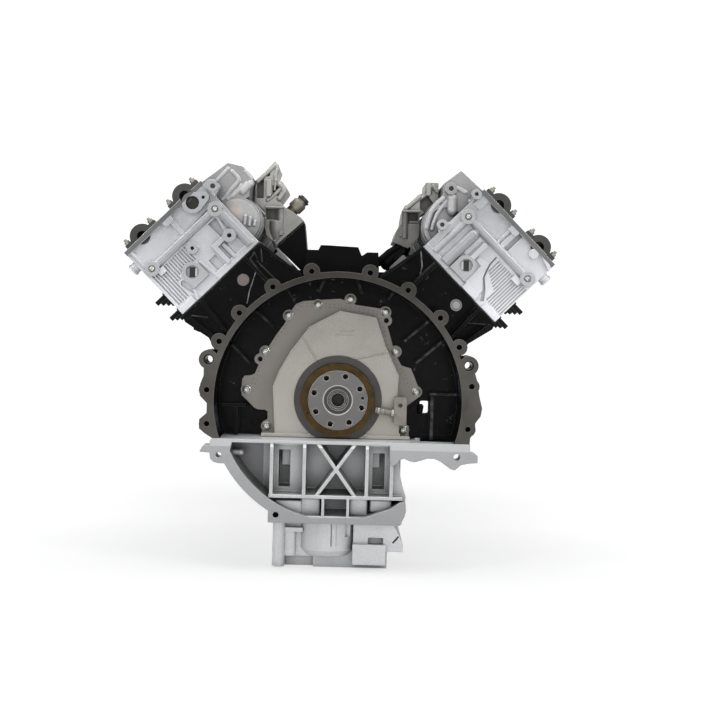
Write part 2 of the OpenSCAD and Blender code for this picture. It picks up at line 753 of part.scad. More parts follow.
// Ribs on the rear wall of the upper sump
module sump_ribs() {
    top = joint_z - seat_gap;
    along_y(-bell_back + 3, wall_y + 1) {
        for (x = [-99.5, -49, 47.5, 85.5]) translate([x - 2.5, -146])
            square([5, top + 146]);
        translate([-103, -150]) square([206, 5]);
        translate([-21, -178]) square([4, 32]);
        translate([17.5, -178]) square([4, 32]);
        translate([-103, -181]) square([206, 4]);
    }
    along_y(-bell_back + 5, wall_y + 1) {
        bar([-30, top - 3], [30, -147], 5);
        bar([30, top - 3], [-30, -147], 5);
    }
    // Lighter panels either side, stepped back
    along_y(8, wall_y + 1) {
        translate([-98, -146]) square([8, 82]);
        translate([-72, -146]) square([22, 82]);
        translate([-91, -146]) square([20, 8]);
        translate([-91, -80]) square([20, 18]);
        translate([48, -146]) square([9, 82]);
        translate([76, -146]) square([8, 82]);
        translate([56, -82]) square([21, 18]);
        translate([56, -146]) square([21, 7]);
    }
    along_y(20, wall_y + 1) {
        translate([-85, -105]) square([14, 26]);
        translate([57, -106]) square([11, 25]);
    }
    // Panels of the ledge, two of them rounded
    along_y(-2, wall_y + 1) {
        translate([-99, -178]) square([24, 31]);
        translate([63, -178]) square([23, 31]);
    }
    along_y(8, wall_y + 1) {
        translate([-76, -178]) square([28, 31]);
        translate([50, -178]) square([14, 31]);
    }
    for (x = [-36, 37]) translate([x, 12, -179]) cylinder(r = 16.5, h = 32);
}

module lower_sump() {
    top = sump_joint_z - seat_gap;
    color([0.76, 0.77, 0.78]) difference() {
        union() {
            // Flange against the upper sump
            translate([-sump_half_w - 8, 20, top - 9])
                cube([2 * sump_half_w + 16, block_front - 24, 9]);
            // Body, with a column at its corner
            translate([-sump_half_w + 7, 30, foot_z])
                cube([2 * sump_half_w - 21, block_front - 40, top - foot_z]);
            translate([-sump_half_w, 18, foot_z + 2]) linear_extrude(top - foot_z - 2)
                soft_rect([20, 40], 8);
            translate([-81, 24, foot_z + 18]) linear_extrude(40) soft_rect([20, 20], 5);
            translate([-91, 23, foot_z + 56]) cube([40, 10, 7]);
            // Rounded swelling of the rear face
            translate([-11, 60, foot_z + 30]) cylinder(r = 52, h = top - foot_z - 30);
            translate([-11, 60, foot_z + 20]) cylinder(r1 = 44, r2 = 52, h = 10.01);
            // Right end with its gusset, the plate and the filter block
            along_y(18, 32) polygon([[30, top], [30, foot_z + 30], [80, foot_z + 30],
                [109, foot_z + 30], [109, foot_z + 40], [98, -206], [86, top]]);
            translate([80, 20, foot_z + 29]) cube([29, 160, 10]);
            translate([29, 12, foot_z + 9]) cube([52, 30, 32]);
        }
        translate([-sump_half_w + 7 + sump_wall, 44, foot_z + sump_wall])
            cube([2 * sump_half_w - 21 - 2 * sump_wall, block_front - 60, 200]);
        // Slot over the block, notch under the column and grooves of the swelling
        translate([53, 10, foot_z + 41]) cube([24, 16, 10]);
        translate([-79, 10, foot_z - 1]) cube([46, 28, 18]);
        for (x = [-6, 2]) translate([x, 5, foot_z + 38]) cube([2.2, 6, 36]);
        translate([17, 5, foot_z + 52]) cube([9, 17, 22]);
        translate([91, 17, foot_z + 44]) rotate([0, 40, 0]) cube([3, 9, 14]);
        // Drain hole
        translate([sump_half_w - 30, 200, foot_z + 20]) rotate([0, 90, 0])
            cylinder(r = 9.1, h = 40);
    }
}

module drain_plug() {
    color([0.5, 0.5, 0.5]) translate([sump_half_w - 14 + seat_gap, 200, foot_z + 20])
        rotate([0, 90, 0]) {
            cylinder(r = 12, h = 3);
            translate([0, 0, 3]) hex_head(17, 8);
            translate([0, 0, -10]) cylinder(r = 8.9, h = 11);
        }
}

module sump_bolts() {
    color([0.7, 0.7, 0.68]) {
        for (s = [-1, 1], k = [0:5]) translate([s * 130, 80 + 76 * k,
            joint_z - 12 - 2 * seat_gap - 6]) hex_head(10, 6);
        for (s = [-1, 1], k = [0:5]) translate([s * (sump_half_w + 1.5),
            76 + 78 * k, sump_joint_z - 9 - 2 * seat_gap - 6]) hex_head(10, 6);
    }
}

module oil_pickup() {
    pipe_z = sump_joint_z + 14;
    color([0.15, 0.15, 0.16]) {
        translate([-20, 150, foot_z + sump_wall + seat_gap]) {
            cylinder(r = 36, h = 14);
            cylinder(r = 9, h = pipe_z - foot_z - sump_wall);
        }
        round_y(9, 141, 452, -20, pipe_z);
        // Riser to the front main cap
        translate([-20, 451.5, pipe_z]) cylinder(r = 7, h = -50.3 - pipe_z);
    }
}

module oil_pump() {
    color([0.5, 0.5, 0.51]) difference() {
        along_y(block_front + seat_gap, block_front + 15) {
            circle(51);
            translate([-30, -50]) square([60, 40]);
            for (a = [30, 150]) rotate(a) translate([50, -9]) square([22, 18]);
        }
        round_y(nose_r + 3.4, block_front, block_front + 16);
        round_y(main_r - 3.6, block_front, block_front + 5);
    }
}

// Cylinder heads

// Drawing on a head's rear face, measured from the deck, standing out from it
module relief(out) {
    along_y(head_y0 - out, head_y0 + 1) translate([0, head_z0]) children();
}

// The same, cut into the face
module pocket(deep) {
    along_y(head_y0 - 1, head_y0 + deep) translate([0, head_z0]) children();
}

// Round ridge of the rear face between two points
module ridge(p, q, r) {
    d = q - p;
    translate([p[0], head_y0, head_z0 + p[1]]) rotate([0, atan2(d[0], d[1]), 0])
        cylinder(r = r, h = norm(d));
}

// Part that both heads share, in the bank frame
module head_body() {
    difference() {
        union() {
            translate([-head_in_w, head_y0, head_z0])
                cube([head_in_w + head_out_w, head_y1 - head_y0, head_h]);
            // End bosses, and the round rib that joins them on the rear face
            for (w = end_bolt_w) round_y(12, head_y0 - 8, head_y0 + 1, w, end_bolt_h);
            ridge([-60, end_bolt_h - head_z0 + 1], [60, end_bolt_h - head_z0 + 1], 7.5);
            // Boss under the rim, with its rib
            relief(5) translate([-8.5, 116]) soft_rect([17, 13], 3);
            // Exhaust flange
            translate([head_out_w - 1, head_y0 + 30, head_z0 + 6])
                cube([4, head_y1 - head_y0 - 60, 50]);
        }
        // Open tray that holds the valve train
        translate([-tray_in_w, head_y0 + 12, tray_h])
            cube([tray_in_w + tray_out_w, head_y1 - head_y0 - 24, 100]);
    }
    for (y = pin_y) {
        // Injector tower and the pedestals of the camshaft bearings
        translate([0, y, tray_h - 1]) cylinder(r = 13, h = head_top - tray_h + 1 - 6);
        for (s = [-1, 1]) translate([s > 0 ? 9 : -tray_in_w - 1, y - cap_t / 2,
            tray_h - 1]) cube([(s > 0 ? tray_out_w : tray_in_w) - 8, cap_t,
            head_top - tray_h + 1]);
        for (s = [-1, 1], t = [-1, 1])
            translate([s * pivot_w, y + t * valve_y, tray_h - 1])
                cylinder(r = 7.4, h = 17);
    }
}

module head_cuts() {
    // Camshaft bearings and their bolts
    for (s = [-1, 1]) {
        round_y(cam_journal_r + run_gap, head_y0 - 1, head_y1 + 1, s * cam_w, cam_h);
        for (y = cam_station, t = [-1, 1])
            translate([s * cam_w + t * cap_bolt_w, y, head_top - 24])
                cylinder(r = 3.1, h = 30);
    }
    for (y = pin_y) {
        translate([0, y, head_z0 - 1]) cylinder(r = 4, h = head_h + 2);
        translate([0, y, tray_h + 6]) cylinder(r = 9, h = 80);
        for (s = [-1, 1]) {
            for (t = [-1, 1]) translate([s * valve_w, y + t * valve_y, 0]) {
                translate([0, 0, head_z0 - 1]) cylinder(r = valve_r + 0.4, h = 5.4);
                translate([0, 0, head_z0]) cylinder(r = valve_r - 2, h = 30);
                translate([0, 0, head_z0]) cylinder(r = 3.1, h = 100);
            }
            // Port out of the side of the head
            translate([s * 20, y, head_z0 + 27]) rotate([0, s * 90, 0])
                cylinder(r = 15, h = 80);
            for (t = [-1, 1])
                translate([s * pivot_w, y + t * valve_y, tray_h - 8])
                    cylinder(r = 6.05, h = 60);
        }
    }
    // Head bolts
    for (y = main_y, s = [-1, 1]) translate([s * head_bolt_w, y, head_z0 - 1])
        cylinder(r = head_bolt_r + 0.3, h = 100);
    // Seats of the end bolts
    for (w = end_bolt_w) {
        round_y(5.6, head_y0 - 9, head_y0 - 5, w, end_bolt_h);
        round_y(3.3, head_y0 - 9, head_y0 + 8, w, end_bolt_h);
    }
}

// Arched pad with a deep round bore, on the rear face
module plug_pad(w, h, foot) {
    difference() {
        along_y(head_y0 - 7, head_y0 + 1) {
            translate([w, h]) circle(16.5);
            translate([w - 16.5, foot]) square([33, h - foot]);
        }
        round_y(10.5, head_y0 - 8, head_y0 + 9, w, h);
    }
}

module boss_rear(w, h, r, out, hole) {
    difference() {
        round_y(r, head_y0 - out, head_y0 + 1, w, h);
        round_y(hole, head_y0 - out - 1, head_y0 + 2, w, h);
    }
}

module left_head() {
    color([0.8, 0.81, 0.83]) bank(-1) {
        difference() {
            union() {
                head_body();
                relief(5) {
                    translate([-37, 125]) square([head_out_w + 37, head_h - 125]);
                    translate([54, 66]) square([13, 10]);
                }
                relief(3) {
                    translate([-7, 90]) square([7, 28]);
                    translate([-head_in_w, 0]) square([head_in_w + 2, 11]);
                    translate([54, 0]) square([head_out_w - 54, 11]);
                    bar([44, 17], [50, 0], 4);
                    bar([7, 42], [2, 0], 4);
                    bar([-61, 76], [-54, 45], 4);
                }
                ridge([76, 84], [76, 128], 4);
                ridge([-69, 6], [-69, 75], 8);
                ridge([-38, 8], [-38, 36], 5);
                relief(6) {
                    translate([-47, 38]) square([24, 8]);
                    translate([-29, 8]) square([7, 38]);
                }
                // Ear on the valley side
                along_y(head_y0 - 6, head_y0 + 10) polygon([
                    [-head_in_w + 2, head_z0 + 98], [-98, head_z0 + 105],
                    [-98, head_z0 + 119], [-92, head_z0 + 124],
                    [-head_in_w + 2, head_z0 + 128]]);
            }
            head_cuts();
            pocket(9) polygon([[-42, 75], [-58, 75], [-52, 46], [-43, 46]]);
            pocket(5) {
                translate([-18, 12]) square([15, 21]);
                polygon([[43, 15], [46, 38], [50, 40], [55, 35], [52, 22], [49, 12]]);
            }
            // Fins
            pocket(3) for (k = [0:14]) translate([9 + 4.8 * k, k < 8 ? 48 : k < 10 ? 42 : 14])
                square([2.4, k < 8 ? 28 : k < 10 ? 34 : 62]);
        }
        plug_pad(27, head_z0 + 37, head_z0 + 16);
        boss_rear(-54.5, head_z0 + 38.5, 10.5, 8, 3.5);
        boss_rear(1.5, head_z0 + 64, 9.5, 7, 3);
        boss_rear(-89, head_z0 + 112, 9, 10, 4);
        // Oval flange with a large bore
        difference() {
            along_y(head_y0 - 10, head_y0 + 1) translate([0, head_z0]) {
                translate([-48, 115]) circle(17);
                translate([-66, 109.5]) circle(9);
                polygon([[-54, 131], [-72, 116], [-69, 101], [-50, 98.1]]);
            }
            round_y(10.5, head_y0 - 11, head_y0 + 2, -48, head_z0 + 115);
            round_y(2.6, head_y0 - 11, head_y0 + 2, -66, head_z0 + 109.5);
        }
        hose_stub();
    }
}

module right_head() {
    color([0.8, 0.81, 0.83]) bank(1) {
        difference() {
            union() {
                head_body();
                relief(5) {
                    polygon([[-head_in_w, 125], [60, 125], [head_out_w, 117],
                        [head_out_w, 122], [62, head_h], [-head_in_w, head_h]]);
                    translate([52, 65]) square([15, 10]);
                    translate([7, 0]) square([29, 11]);
                    translate([48, 119]) circle(8);
                }
                relief(3) {
                    translate([0, 90]) square([8, 28]);
                    translate([-7, 90]) square([4, 28]);
                    translate([-head_in_w, 0]) square([50, 9]);
                    translate([52, 0]) square([head_out_w - 52, 11]);
                    translate([-76, 105]) square([14, 24]);
                    translate([-30, 40]) square([6, 34]);
                    polygon([[-8, 45], [-8, 53], [11, 57], [13, 50], [19, 35], [34, 20],
                        [34, 9], [4, 9], [4, 45]]);
                }
                relief(6) translate([-19, 40]) square([8, 34]);
                ridge([-64, 8], [-64, 76], 6);
                ridge([-40, 7], [-40, 70], 10);
                translate([-40, head_y0, head_z0 + 70]) sphere(r = 10);
            }
            head_cuts();
            pocket(9) translate([8, 91]) square([8, 34]);
            pocket(6) polygon([[12.5, 73], [14, 55], [21, 37], [36, 25], [48, 10], [44, 5],
                [37, 15], [33, 20], [20, 33], [14, 45], [11, 55], [10, 73]]);
            // Fins
            pocket(3) for (k = [0:14]) translate([18 + 4.4 * k, k < 7 ? 48 - 2.4 * k : 14])
                square([2.2, k < 7 ? 24 + 2.4 * k : 58]);
        }
        plug_pad(-13, head_z0 + 28, head_z0 + 8);
        boss_rear(-83.5, head_z0 + 118, 8.5, 10, 3.2);
        boss_rear(-86, head_z0 + 45, 8.5, 9, 3.5);
        // Web behind the two bosses of the valley side
        along_y(head_y0 - 3, head_y0 + 6) translate([0, head_z0]) {
            polygon([[-79, 104], [-88, 112], [-88, 124], [-79, 130]]);
            polygon([[-79, 32], [-91, 40], [-91, 50], [-79, 58]]);
        }
        hose_stub();
    }
}

module head_end_bolts() {
    color([0.8, 0.8, 0.8]) for (side = [-1, 1], w = end_bolt_w) bank(side)
        translate([w, head_y0 - 5 - seat_gap, end_bolt_h]) rotate([90, 0, 0]) {
            rotate_extrude() polygon([[0, 0], [4.4, 0], [4.4, 1.5], [3.9, 2.5], [2.9, 3.3],
                [1.5, 3.7], [0, 3.7]]);
            translate([0, 0, -9]) cylinder(r = 3, h = 9.1);
        }
}

// Short hose stub on the outboard rear corner of a head
module hose_stub() {
    translate([head_out_w - 1, head_y0 + 14, head_z0 + 106]) rotate([0, 90, 0])
        difference() {
            union() {
                cylinder(r = 9, h = 13);
                translate([0, 0, 9]) cylinder(r = 10, h = 3);
            }
            translate([0, 0, 2]) cylinder(r = 6, h = 12);
        }
}

module head_gaskets() {
    color([0.3, 0.3, 0.32]) for (side = [-1, 1]) bank(side) difference() {
        translate([-head_in_w + 1, head_y0 + 1, deck_h + 0.1])
            cube([head_in_w + head_out_w - 2, head_y1 - head_y0 - 2, gasket_t - 0.2]);
        for (y = pin_y) translate([0, y, deck_h - 1]) cylinder(d = bore + 1, h = 5);
        for (y = main_y, s = [-1, 1]) translate([s * head_bolt_w, y, deck_h - 1])
            cylinder(r = head_bolt_r + 0.3, h = 5);
    }
}

module head_bolts() {
    color([0.3, 0.3, 0.3]) for (side = [-1, 1], y = main_y, s = [-1, 1])
        bank(side) translate([s * head_bolt_w, y, 0]) {
            translate([0, 0, deck_h - 60]) cylinder(r = head_bolt_r, h = tray_h - deck_h + 61);
            translate([0, 0, tray_h + seat_gap]) difference() {
                cylinder(r = 9, h = 11);
                translate([0, 0, 4]) cylinder(r = 5, h = 8, $fn = 6);
            }
        }
}

// Camshafts and their drive

lobe_offset = lobe_base_r + lobe_lift - lobe_nose_r;
lobe_flank = acos((lobe_base_r - lobe_nose_r) / lobe_offset);
roller_r = 9;
pivot_reach = pivot_w - cam_w;
// Crank angle past firing top centre at rest, for each cylinder of the two banks
cycle_left = [315, 225, 405, 495];
cycle_right = [45, 675, 135, 585];
function cycle(side, i) = side < 0 ? cycle_left[i] : cycle_right[i];
// Crank angle at which the valves of a cylinder stand fully open
function peak(kind) = kind < 0 ? 470 : 250;
// Turn of the lobe past the roller at rest, for kind -1 intake and 1 exhaust
function lobe_turn(side, i, kind) = (cycle(side, i) - peak(kind)) / 2;
// Distance from cam axis to roller axis for a lobe turned t past the roller
function roller_far(t) =
    let (a = abs(((t + 180) % 360 + 360) % 360 - 180),
         r = lobe_base_r + roller_r,
         n = lobe_nose_r + roller_r,
         b = atan2(n * sin(lobe_flank), lobe_offset + n * cos(lobe_flank)))
    a >= lobe_flank ? r
    : a >= b ? r / cos(lobe_flank - a)
    : lobe_offset * cos(a) + sqrt(n * n - pow(lobe_offset * sin(a), 2));
function roller_drop(side, i, kind) =
    roller_far(lobe_turn(side, i, kind)) - lobe_base_r - roller_r;

// Lobe with its nose along +y of the drawing
module lobe_2d() {
    circle(lobe_base_r);
    translate([0, lobe_offset]) circle(lobe_nose_r);
    a = lobe_flank;
    polygon([[0, 0], [lobe_base_r * sin(a), lobe_base_r * cos(a)],
        [lobe_nose_r * sin(a), lobe_offset + lobe_nose_r * cos(a)],
        [-lobe_nose_r * sin(a), lobe_offset + lobe_nose_r * cos(a)],
        [-lobe_base_r * sin(a), lobe_base_r * cos(a)]]);
}

gear_module = 2 * cam_w / cam_gear_teeth;
// Spur gear of the pair that joins the two camshafts of a head
module gear_2d(phase) {
    pr = gear_module * cam_gear_teeth / 2;
    step = 360 / cam_gear_teeth;
    circle(pr - 1.2 * gear_module);
    for (k = [0:cam_gear_teeth - 1]) rotate(step * (k + phase)) polygon([
        [pr - 1.5 * gear_module, -0.9 * gear_module], [pr, -0.7 * gear_module],
        [pr + 0.8 * gear_module, -0.34 * gear_module],
        [pr + 0.8 * gear_module, 0.34 * gear_module],
        [pr, 0.7 * gear_module], [pr - 1.5 * gear_module, 0.9 * gear_module]]);
}

// Camshaft of a bank, kind -1 on the valley side, 1 outboard
module camshaft(side, kind) {
    bank(side) translate([kind * cam_w, 0, cam_h]) {
        difference() {
            union() {
                round_y(10.5, head_y0 + 14, head_y1 - 12);
                for (y = cam_station)
                    round_y(cam_journal_r, y - cap_t / 2 - 1, y + cap_t / 2 + 1);
            }
            // Open rear end
            round_y(cam_end_bore, head_y0, head_y0 + 34);
        }
        for (i = [0:3], t = [-1, 1])
            along_y(pin_y[i] + t * valve_y - 5, pin_y[i] + t * valve_y + 5)
                rotate(180 + side * kind * -1 * lobe_turn(side, i, kind)) lobe_2d();
        round_y(cam_journal_r, head_y1 - 14, gear_y + gear_t);
        along_y(gear_y, gear_y + gear_t) difference() {
            gear_2d(kind < 0 ? 0 : 0.5);
            for (k = [0:5]) rotate(60 * k) translate([29, 0]) circle(8);
        }
        if (kind < 0) {
            round_y(16, gear_y + gear_t - 1, sprocket_y + sprocket_t + 5);
            along_y(sprocket_y, sprocket_y + sprocket_t) difference() {
                sprocket_2d(chain_r_cam, 40);
                for (k = [0:4]) rotate(72 * k) translate([31, 0]) circle(10);
            }
        } else {
            round_y(9, gear_y + gear_t - 1, gear_y + gear_t + 3);
        }
    }
}

module left_intake_camshaft() {
    color([0.42, 0.42, 0.43]) camshaft(-1, -1);
}

module left_exhaust_camshaft() {
    color([0.42, 0.42, 0.43]) camshaft(-1, 1);
}

module right_intake_camshaft() {
    color([0.42, 0.42, 0.43]) camshaft(1, -1);
}

module right_exhaust_camshaft() {
    color([0.42, 0.42, 0.43]) camshaft(1, 1);
}

module cam_caps(side) {
    bank(side) for (s = [-1, 1], y = cam_station) difference() {
        along_y(y - cap_t / 2, y + cap_t / 2) translate([s * cam_w, cam_h]) difference() {
            union() {
                circle(cap_r);
                translate([-cap_bolt_w - 6, 0]) square([2 * cap_bolt_w + 12, 7]);
            }
            circle(cam_journal_r + run_gap);
            translate([-50, -50]) square([100, 50 + seat_gap]);
        }
        for (t = [-1, 1]) translate([s * cam_w + t * cap_bolt_w, y, cam_h - 1])
            cylinder(r = 3.2, h = 12);
    }
}

module left_cam_caps() {
    color([0.24, 0.23, 0.22]) cam_caps(-1);
}

module right_cam_caps() {
    color([0.24, 0.23, 0.22]) cam_caps(1);
}

module cam_cap_bolts() {
    color([0.62, 0.5, 0.3]) for (side = [-1, 1]) bank(side)
        for (s = [-1, 1], y = cam_station, t = [-1, 1])
            translate([s * cam_w + t * cap_bolt_w, y, cam_h + 7 + seat_gap]) {
                hex_head(8, 5);
                cylinder(r = 2.6, h = 9);
                translate([0, 0, -25]) cylinder(r = 3, h = 25.5);
            }
}

// Valves, springs and followers, each drawn at its own lift

tip_h = cam_h - lobe_base_r - roller_r - 6;
function valve_lift(side, i, kind) =
    (pivot_w - valve_w) * sin(follower_tilt(side, i, kind));
function follower_tilt(side, i, kind) = asin(roller_drop(side, i, kind) / pivot_reach);

module each_valve() {
    for (side = [-1, 1], i = [0:3], kind = [-1, 1], t = [-1, 1])
        bank(side) translate([0, pin_y[i] + t * valve_y, 0])
            if (kind > 0) {
                $tilt = follower_tilt(side, i, kind);
                $lift = valve_lift(side, i, kind);
                children();
            } else {
                $tilt = follower_tilt(side, i, kind);
                $lift = valve_lift(side, i, kind);
                mirror([1, 0, 0]) children();
            }
}

module valves() {
    color([0.55, 0.54, 0.52]) each_valve() translate([valve_w, 0, -$lift]) {
        translate([0, 0, head_z0 + 0.3]) rotate_extrude()
            polygon([[0, 0], [valve_r, 0], [valve_r, 1.6], [valve_r - 2.6, 4.2], [5, 8.5],
                [3, 16], [3, tip_h - head_z0 - 1], [0, tip_h - head_z0 - 1]]);
        // Spring retainer
        translate([0, 0, tip_h - 10]) cylinder(r1 = 8, r2 = 10.5, h = 3);
    }
}

spring_seat_h = tray_h + seat_gap;
module valve_springs() {
    color([0.3, 0.32, 0.34]) each_valve() {
        top = tip_h - 10 - seat_gap - $lift;
        turns = 6;
        pitch = (top - spring_seat_h) / turns;
        translate([valve_w, 0, spring_seat_h]) rotate_extrude() polygon(concat(
            [for (k = [0:turns - 1], q = [[8.6, 0], [10.4, 0.25], [10.4, 0.75], [8.6, 1]])
                [q[0], (k + q[1]) * pitch]],
            [for (k = [turns - 1:-1:0], q = [[7, 1], [8.8, 0.75], [8.8, 0.25], [7, 0]])
                [q[0], (k + q[1]) * pitch]]));
    }
}

module finger_followers() {
    color([0.4, 0.39, 0.38]) each_valve()
        translate([pivot_w, 0, tip_h + 1]) rotate([0, -$tilt, 0])
            translate([-pivot_w, 0, -tip_h - 1]) {
                for (s = [-1, 1]) along_y(s > 0 ? 3.4 : -5, s > 0 ? 5 : -3.4)
                    polygon([[valve_w - 4, tip_h], [pivot_w + 5, tip_h],
                        [pivot_w + 5, tip_h + 4], [cam_w + 6, tip_h + 10],
                        [cam_w - 6, tip_h + 10], [valve_w - 4, tip_h + 3.5]]);
                along_y(-4, 4) polygon([[valve_w - 4, tip_h], [valve_w + 8, tip_h],
                    [valve_w + 8, tip_h + 2.5], [valve_w - 4, tip_h + 2.5]]);
                along_y(-4, 4) polygon([[pivot_w - 7, tip_h + 1], [pivot_w + 5, tip_h + 1],
                    [pivot_w + 5, tip_h + 3.5], [pivot_w - 7, tip_h + 3.5]]);
                round_y(roller_r - 0.1, -3, 3, cam_w, tip_h + 6);
                round_y(3, -5, 5, cam_w, tip_h + 6);
            }
}

module lash_adjusters() {
    color([0.6, 0.6, 0.6]) each_valve() translate([pivot_w, 0, tray_h - 7.8]) {
        cylinder(r = 6, h = 40);
        cylinder(r = 3.2, h = tip_h + 0.2 - tray_h + 7.8);
    }
}

// Castings and fittings on the heads

module exhaust_studs() {
    color([0.08, 0.08, 0.08]) for (side = [-1, 1], y = pin_y) bank(side)
        for (h = [14, 48], t = [-1, 1])
            translate([head_out_w + 3 + seat_gap, y + t * 24, head_z0 + h])
                rotate([0, 90, 0]) {
                    cylinder(r = 4, h = 24);
                    cylinder(r = 6.5, h = 6);
                }
}

// Outline of a plenum casting in x and z, for the right bank
module plenum_outline(tall) {
    translate([plenum_x, plenum_z]) circle(plenum_r);
    polygon(tall ? [[227, 338], [185, 371], [161, 366], [147, 353], [150, 318], [184, 296]]
        : [[227, 338], [190, 371], [176, 360], [163, 350], [160, 318], [184, 296]]);
}

module inlet_plenum(side) {
    y0 = head_y0 + side * bank_stagger / 2 + 22;
    y1 = head_y1 + side * bank_stagger / 2 - 14;
    mirror([side < 0 ? 1 : 0, 0, 0]) difference() {
        union() {
            along_y(y0, y1) plenum_outline(side < 0);
            for (k = [0:11]) along_y(y0 + 14 + 36 * k, y0 + 18 + 36 * k)
                translate([plenum_x, plenum_z]) circle(plenum_r + 2.5);
            if (side > 0) round_y(10, y0 - 6, y0 + 5, 174, 341);
        }
        if (side > 0) round_y(4, y0 - 7, y0 + 2, 174, 341);
        // Head side face
        rotate([0, 45, 0]) translate([-head_in_w - seat_gap, -10, 100])
            cube([200, 700, 500]);
        // Inner duct and its end recess
        round_y(plenum_r - 5, y0 + 8, y1 - 6, plenum_x, plenum_z);
        round_y(plenum_r - 6, y0 - 1, y0 + 4, plenum_x, plenum_z);
        for (y = pin_y) translate([0, y + side * bank_stagger / 2, 0]) rotate([0, 45, 0])
            translate([-head_in_w - 12, -15, head_z0 + 8]) cube([40, 30, 34]);
    }
}

module left_inlet_plenum() {
    color([0.68, 0.68, 0.69]) inlet_plenum(-1);
}

module right_inlet_plenum() {
    color([0.68, 0.68, 0.69]) inlet_plenum(1);
}

module left_valve_housing() {
    color([0.6, 0.6, 0.6]) {
        translate([-102, 92, 262]) cylinder(r = 6, h = 47);
        translate([-126, 85, 325]) cube([7, 7, 28]);
        translate([-127, 83, 306]) cube([31, 8, 3]);
    }
    color([0.6, 0.6, 0.6]) difference() {
        along_y(90, 170) difference() {
            polygon([[-144.5, 316], [-144.5, 350], [-113, 384], [-105.6, 372],
                [-110, 360], [-108.7, 351], [-101, 351], [-91, 337], [-104.5, 317],
                [-97, 309.6], [-69.7, 292.8], [-63.4, 286.5], [-108, 246], [-125, 262],
                [-128, 275], [-128, 300]]);
            translate([-plenum_x, plenum_z]) circle(plenum_r + 2.8);
        }
        // Pockets and window of the rear face
        along_y(89, 104) {
            translate([-117, 327]) square([14, 17]);
            translate([-127, 287]) square([19, 18]);
            translate([-125, 362]) circle(4);
            polygon([[-143, 322], [-143, 344], [-131, 356], [-131, 322]]);
        }
        // Seat of the sensor
        translate([-88, 130, 303.5]) rotate([0, 45, 0]) translate([0, 0, -0.3])
            cylinder(r = 10.3, h = 30);
    }
}

module right_valve_housing() {
    color([0.6, 0.6, 0.6]) {
        translate([104, 102, 262]) cylinder(r = 5.5, h = 47);
        translate([98, 93, 306]) cube([30, 8, 3]);
        translate([138, 94, 334]) cube([7, 7, 21]);
    }
    color([0.6, 0.6, 0.6]) difference() {
        along_y(100, 180) difference() {
            polygon([[158, 322], [158, 356], [137, 356], [136, 340], [124, 335],
                [116, 321], [103, 317], [100, 308], [97, 287], [89, 272], [84, 256],
                [110, 246], [128, 265], [128, 300]]);
            translate([plenum_x, plenum_z]) circle(plenum_r + 2.8);
        }
        along_y(99, 114) {
            translate([109, 287]) square([17, 18]);
            polygon([[128, 312], [128, 330], [140, 336], [150, 322], [136, 306]]);
        }
    }
}

module valley_housing() {
    color([0.06, 0.06, 0.06]) difference() {
        union() {
            along_y(70, 430) polygon([[-20, valley_z + seat_gap],
                [20, valley_z + seat_gap], [52, 142], [62, 200], [60, 236], [42, 236],
                [33, 230], [27, 244], [-23, 246], [-34, 246], [-38, 238], [-58, 238],
                [-60, 200], [-52, 142]]);
            along_y(90, 150) polygon([[-57, 200], [-57, 236], [-62, 283], [-104, 245],
                [-104, 240], [-62, 200]]);
            for (k = [0:5]) along_y(88 + 60 * k, 94 + 60 * k)
                polygon([[-50, 150], [50, 150], [75, 190], [72, 205], [-72, 205],
                    [-75, 190]]);
        }
        for (k = [0:2]) translate([0, 130 + 110 * k, 225]) cylinder(r = 20, h = 40);
    }
}

module coolant_pipes() {
    color([0.75, 0.75, 0.75]) for (s = [-1, 1]) {
        // Each flat pipe starts ahead of its bank's shoulder
        bank(s) along_y(head_y0 + 15, 450) translate([-pipe_w, 205])
            soft_rect([11.5, 30], 3);
        // Feet on the bank wall
        for (y = [80, 250, 420]) along_y(y, y + 12) intersection() {
            bar([s * 80.5, 209.4], [s * 104, 186], 10);
            bank_2d(s) translate([-bank_in_w - 60 - seat_gap, 0]) square([60, 400]);
        }
    }
}

module coolant_sensor() {
    color([0.3, 0.26, 0.2]) translate([-88, 130, 303.5]) rotate([0, 45, 0]) {
        cylinder(r = 10, h = 22);
        translate([0, 0, 21]) cylinder(r = 6.5, h = 14);
        translate([0, 0, 28]) cylinder(r = 8, h = 3);
    }
}

// Timing drive

// Line round the crank sprocket and a bank's cam sprocket, as a drawing
module chain_loop(side, grow) {
    hull() {
        circle(chain_r_crank + grow, $fn = 48);
        bank_2d(side) translate([-cam_w, cam_h]) circle(chain_r_cam + grow, $fn = 96);
    }
}

module timing_chains() {
    color([0.35, 0.34, 0.33]) for (side = [-1, 1]) {
        y = sprocket_y + side * bank_stagger / 2;
        along_y(y + 0.5, y + sprocket_t - 0.5) difference() {
            chain_loop(side, chain_grow);
            chain_loop(side, 0.1);
        }
    }
}

module chain_guides() {
    color([0.12, 0.12, 0.1]) for (side = [-1, 1]) {
        y = sprocket_y + side * bank_stagger / 2;
        along_y(y - 1, y + sprocket_t + 1) bank_2d(side) {
            a = atan2(cam_w, cam_h);
            lean = asin((chain_r_cam - chain_r_crank) / norm([cam_w, cam_h]));
            rotate(a) for (s = [-1, 1]) rotate(-s * lean)
                translate([s * (chain_r_crank + chain_grow + 4.6) - 4, 90])
                    soft_rect([8, 210], 3);
        }
    }
}

module cover_outline(inset) {
    for (side = [-1, 1]) bank_2d(side) {
        polygon([[-56 + inset, 0], [82 - inset, 0], [82 - inset, cam_h],
            [-116 + inset, cam_h]]);
        translate([-cam_w, cam_h]) circle(66 - inset);
        translate([cam_w, cam_h]) circle(56 - inset);
    }
    translate([-skirt_w + inset, joint_z + 0.3 + inset])
        square([2 * (skirt_w - inset), joint_drop + 60 - 2 * inset]);
}

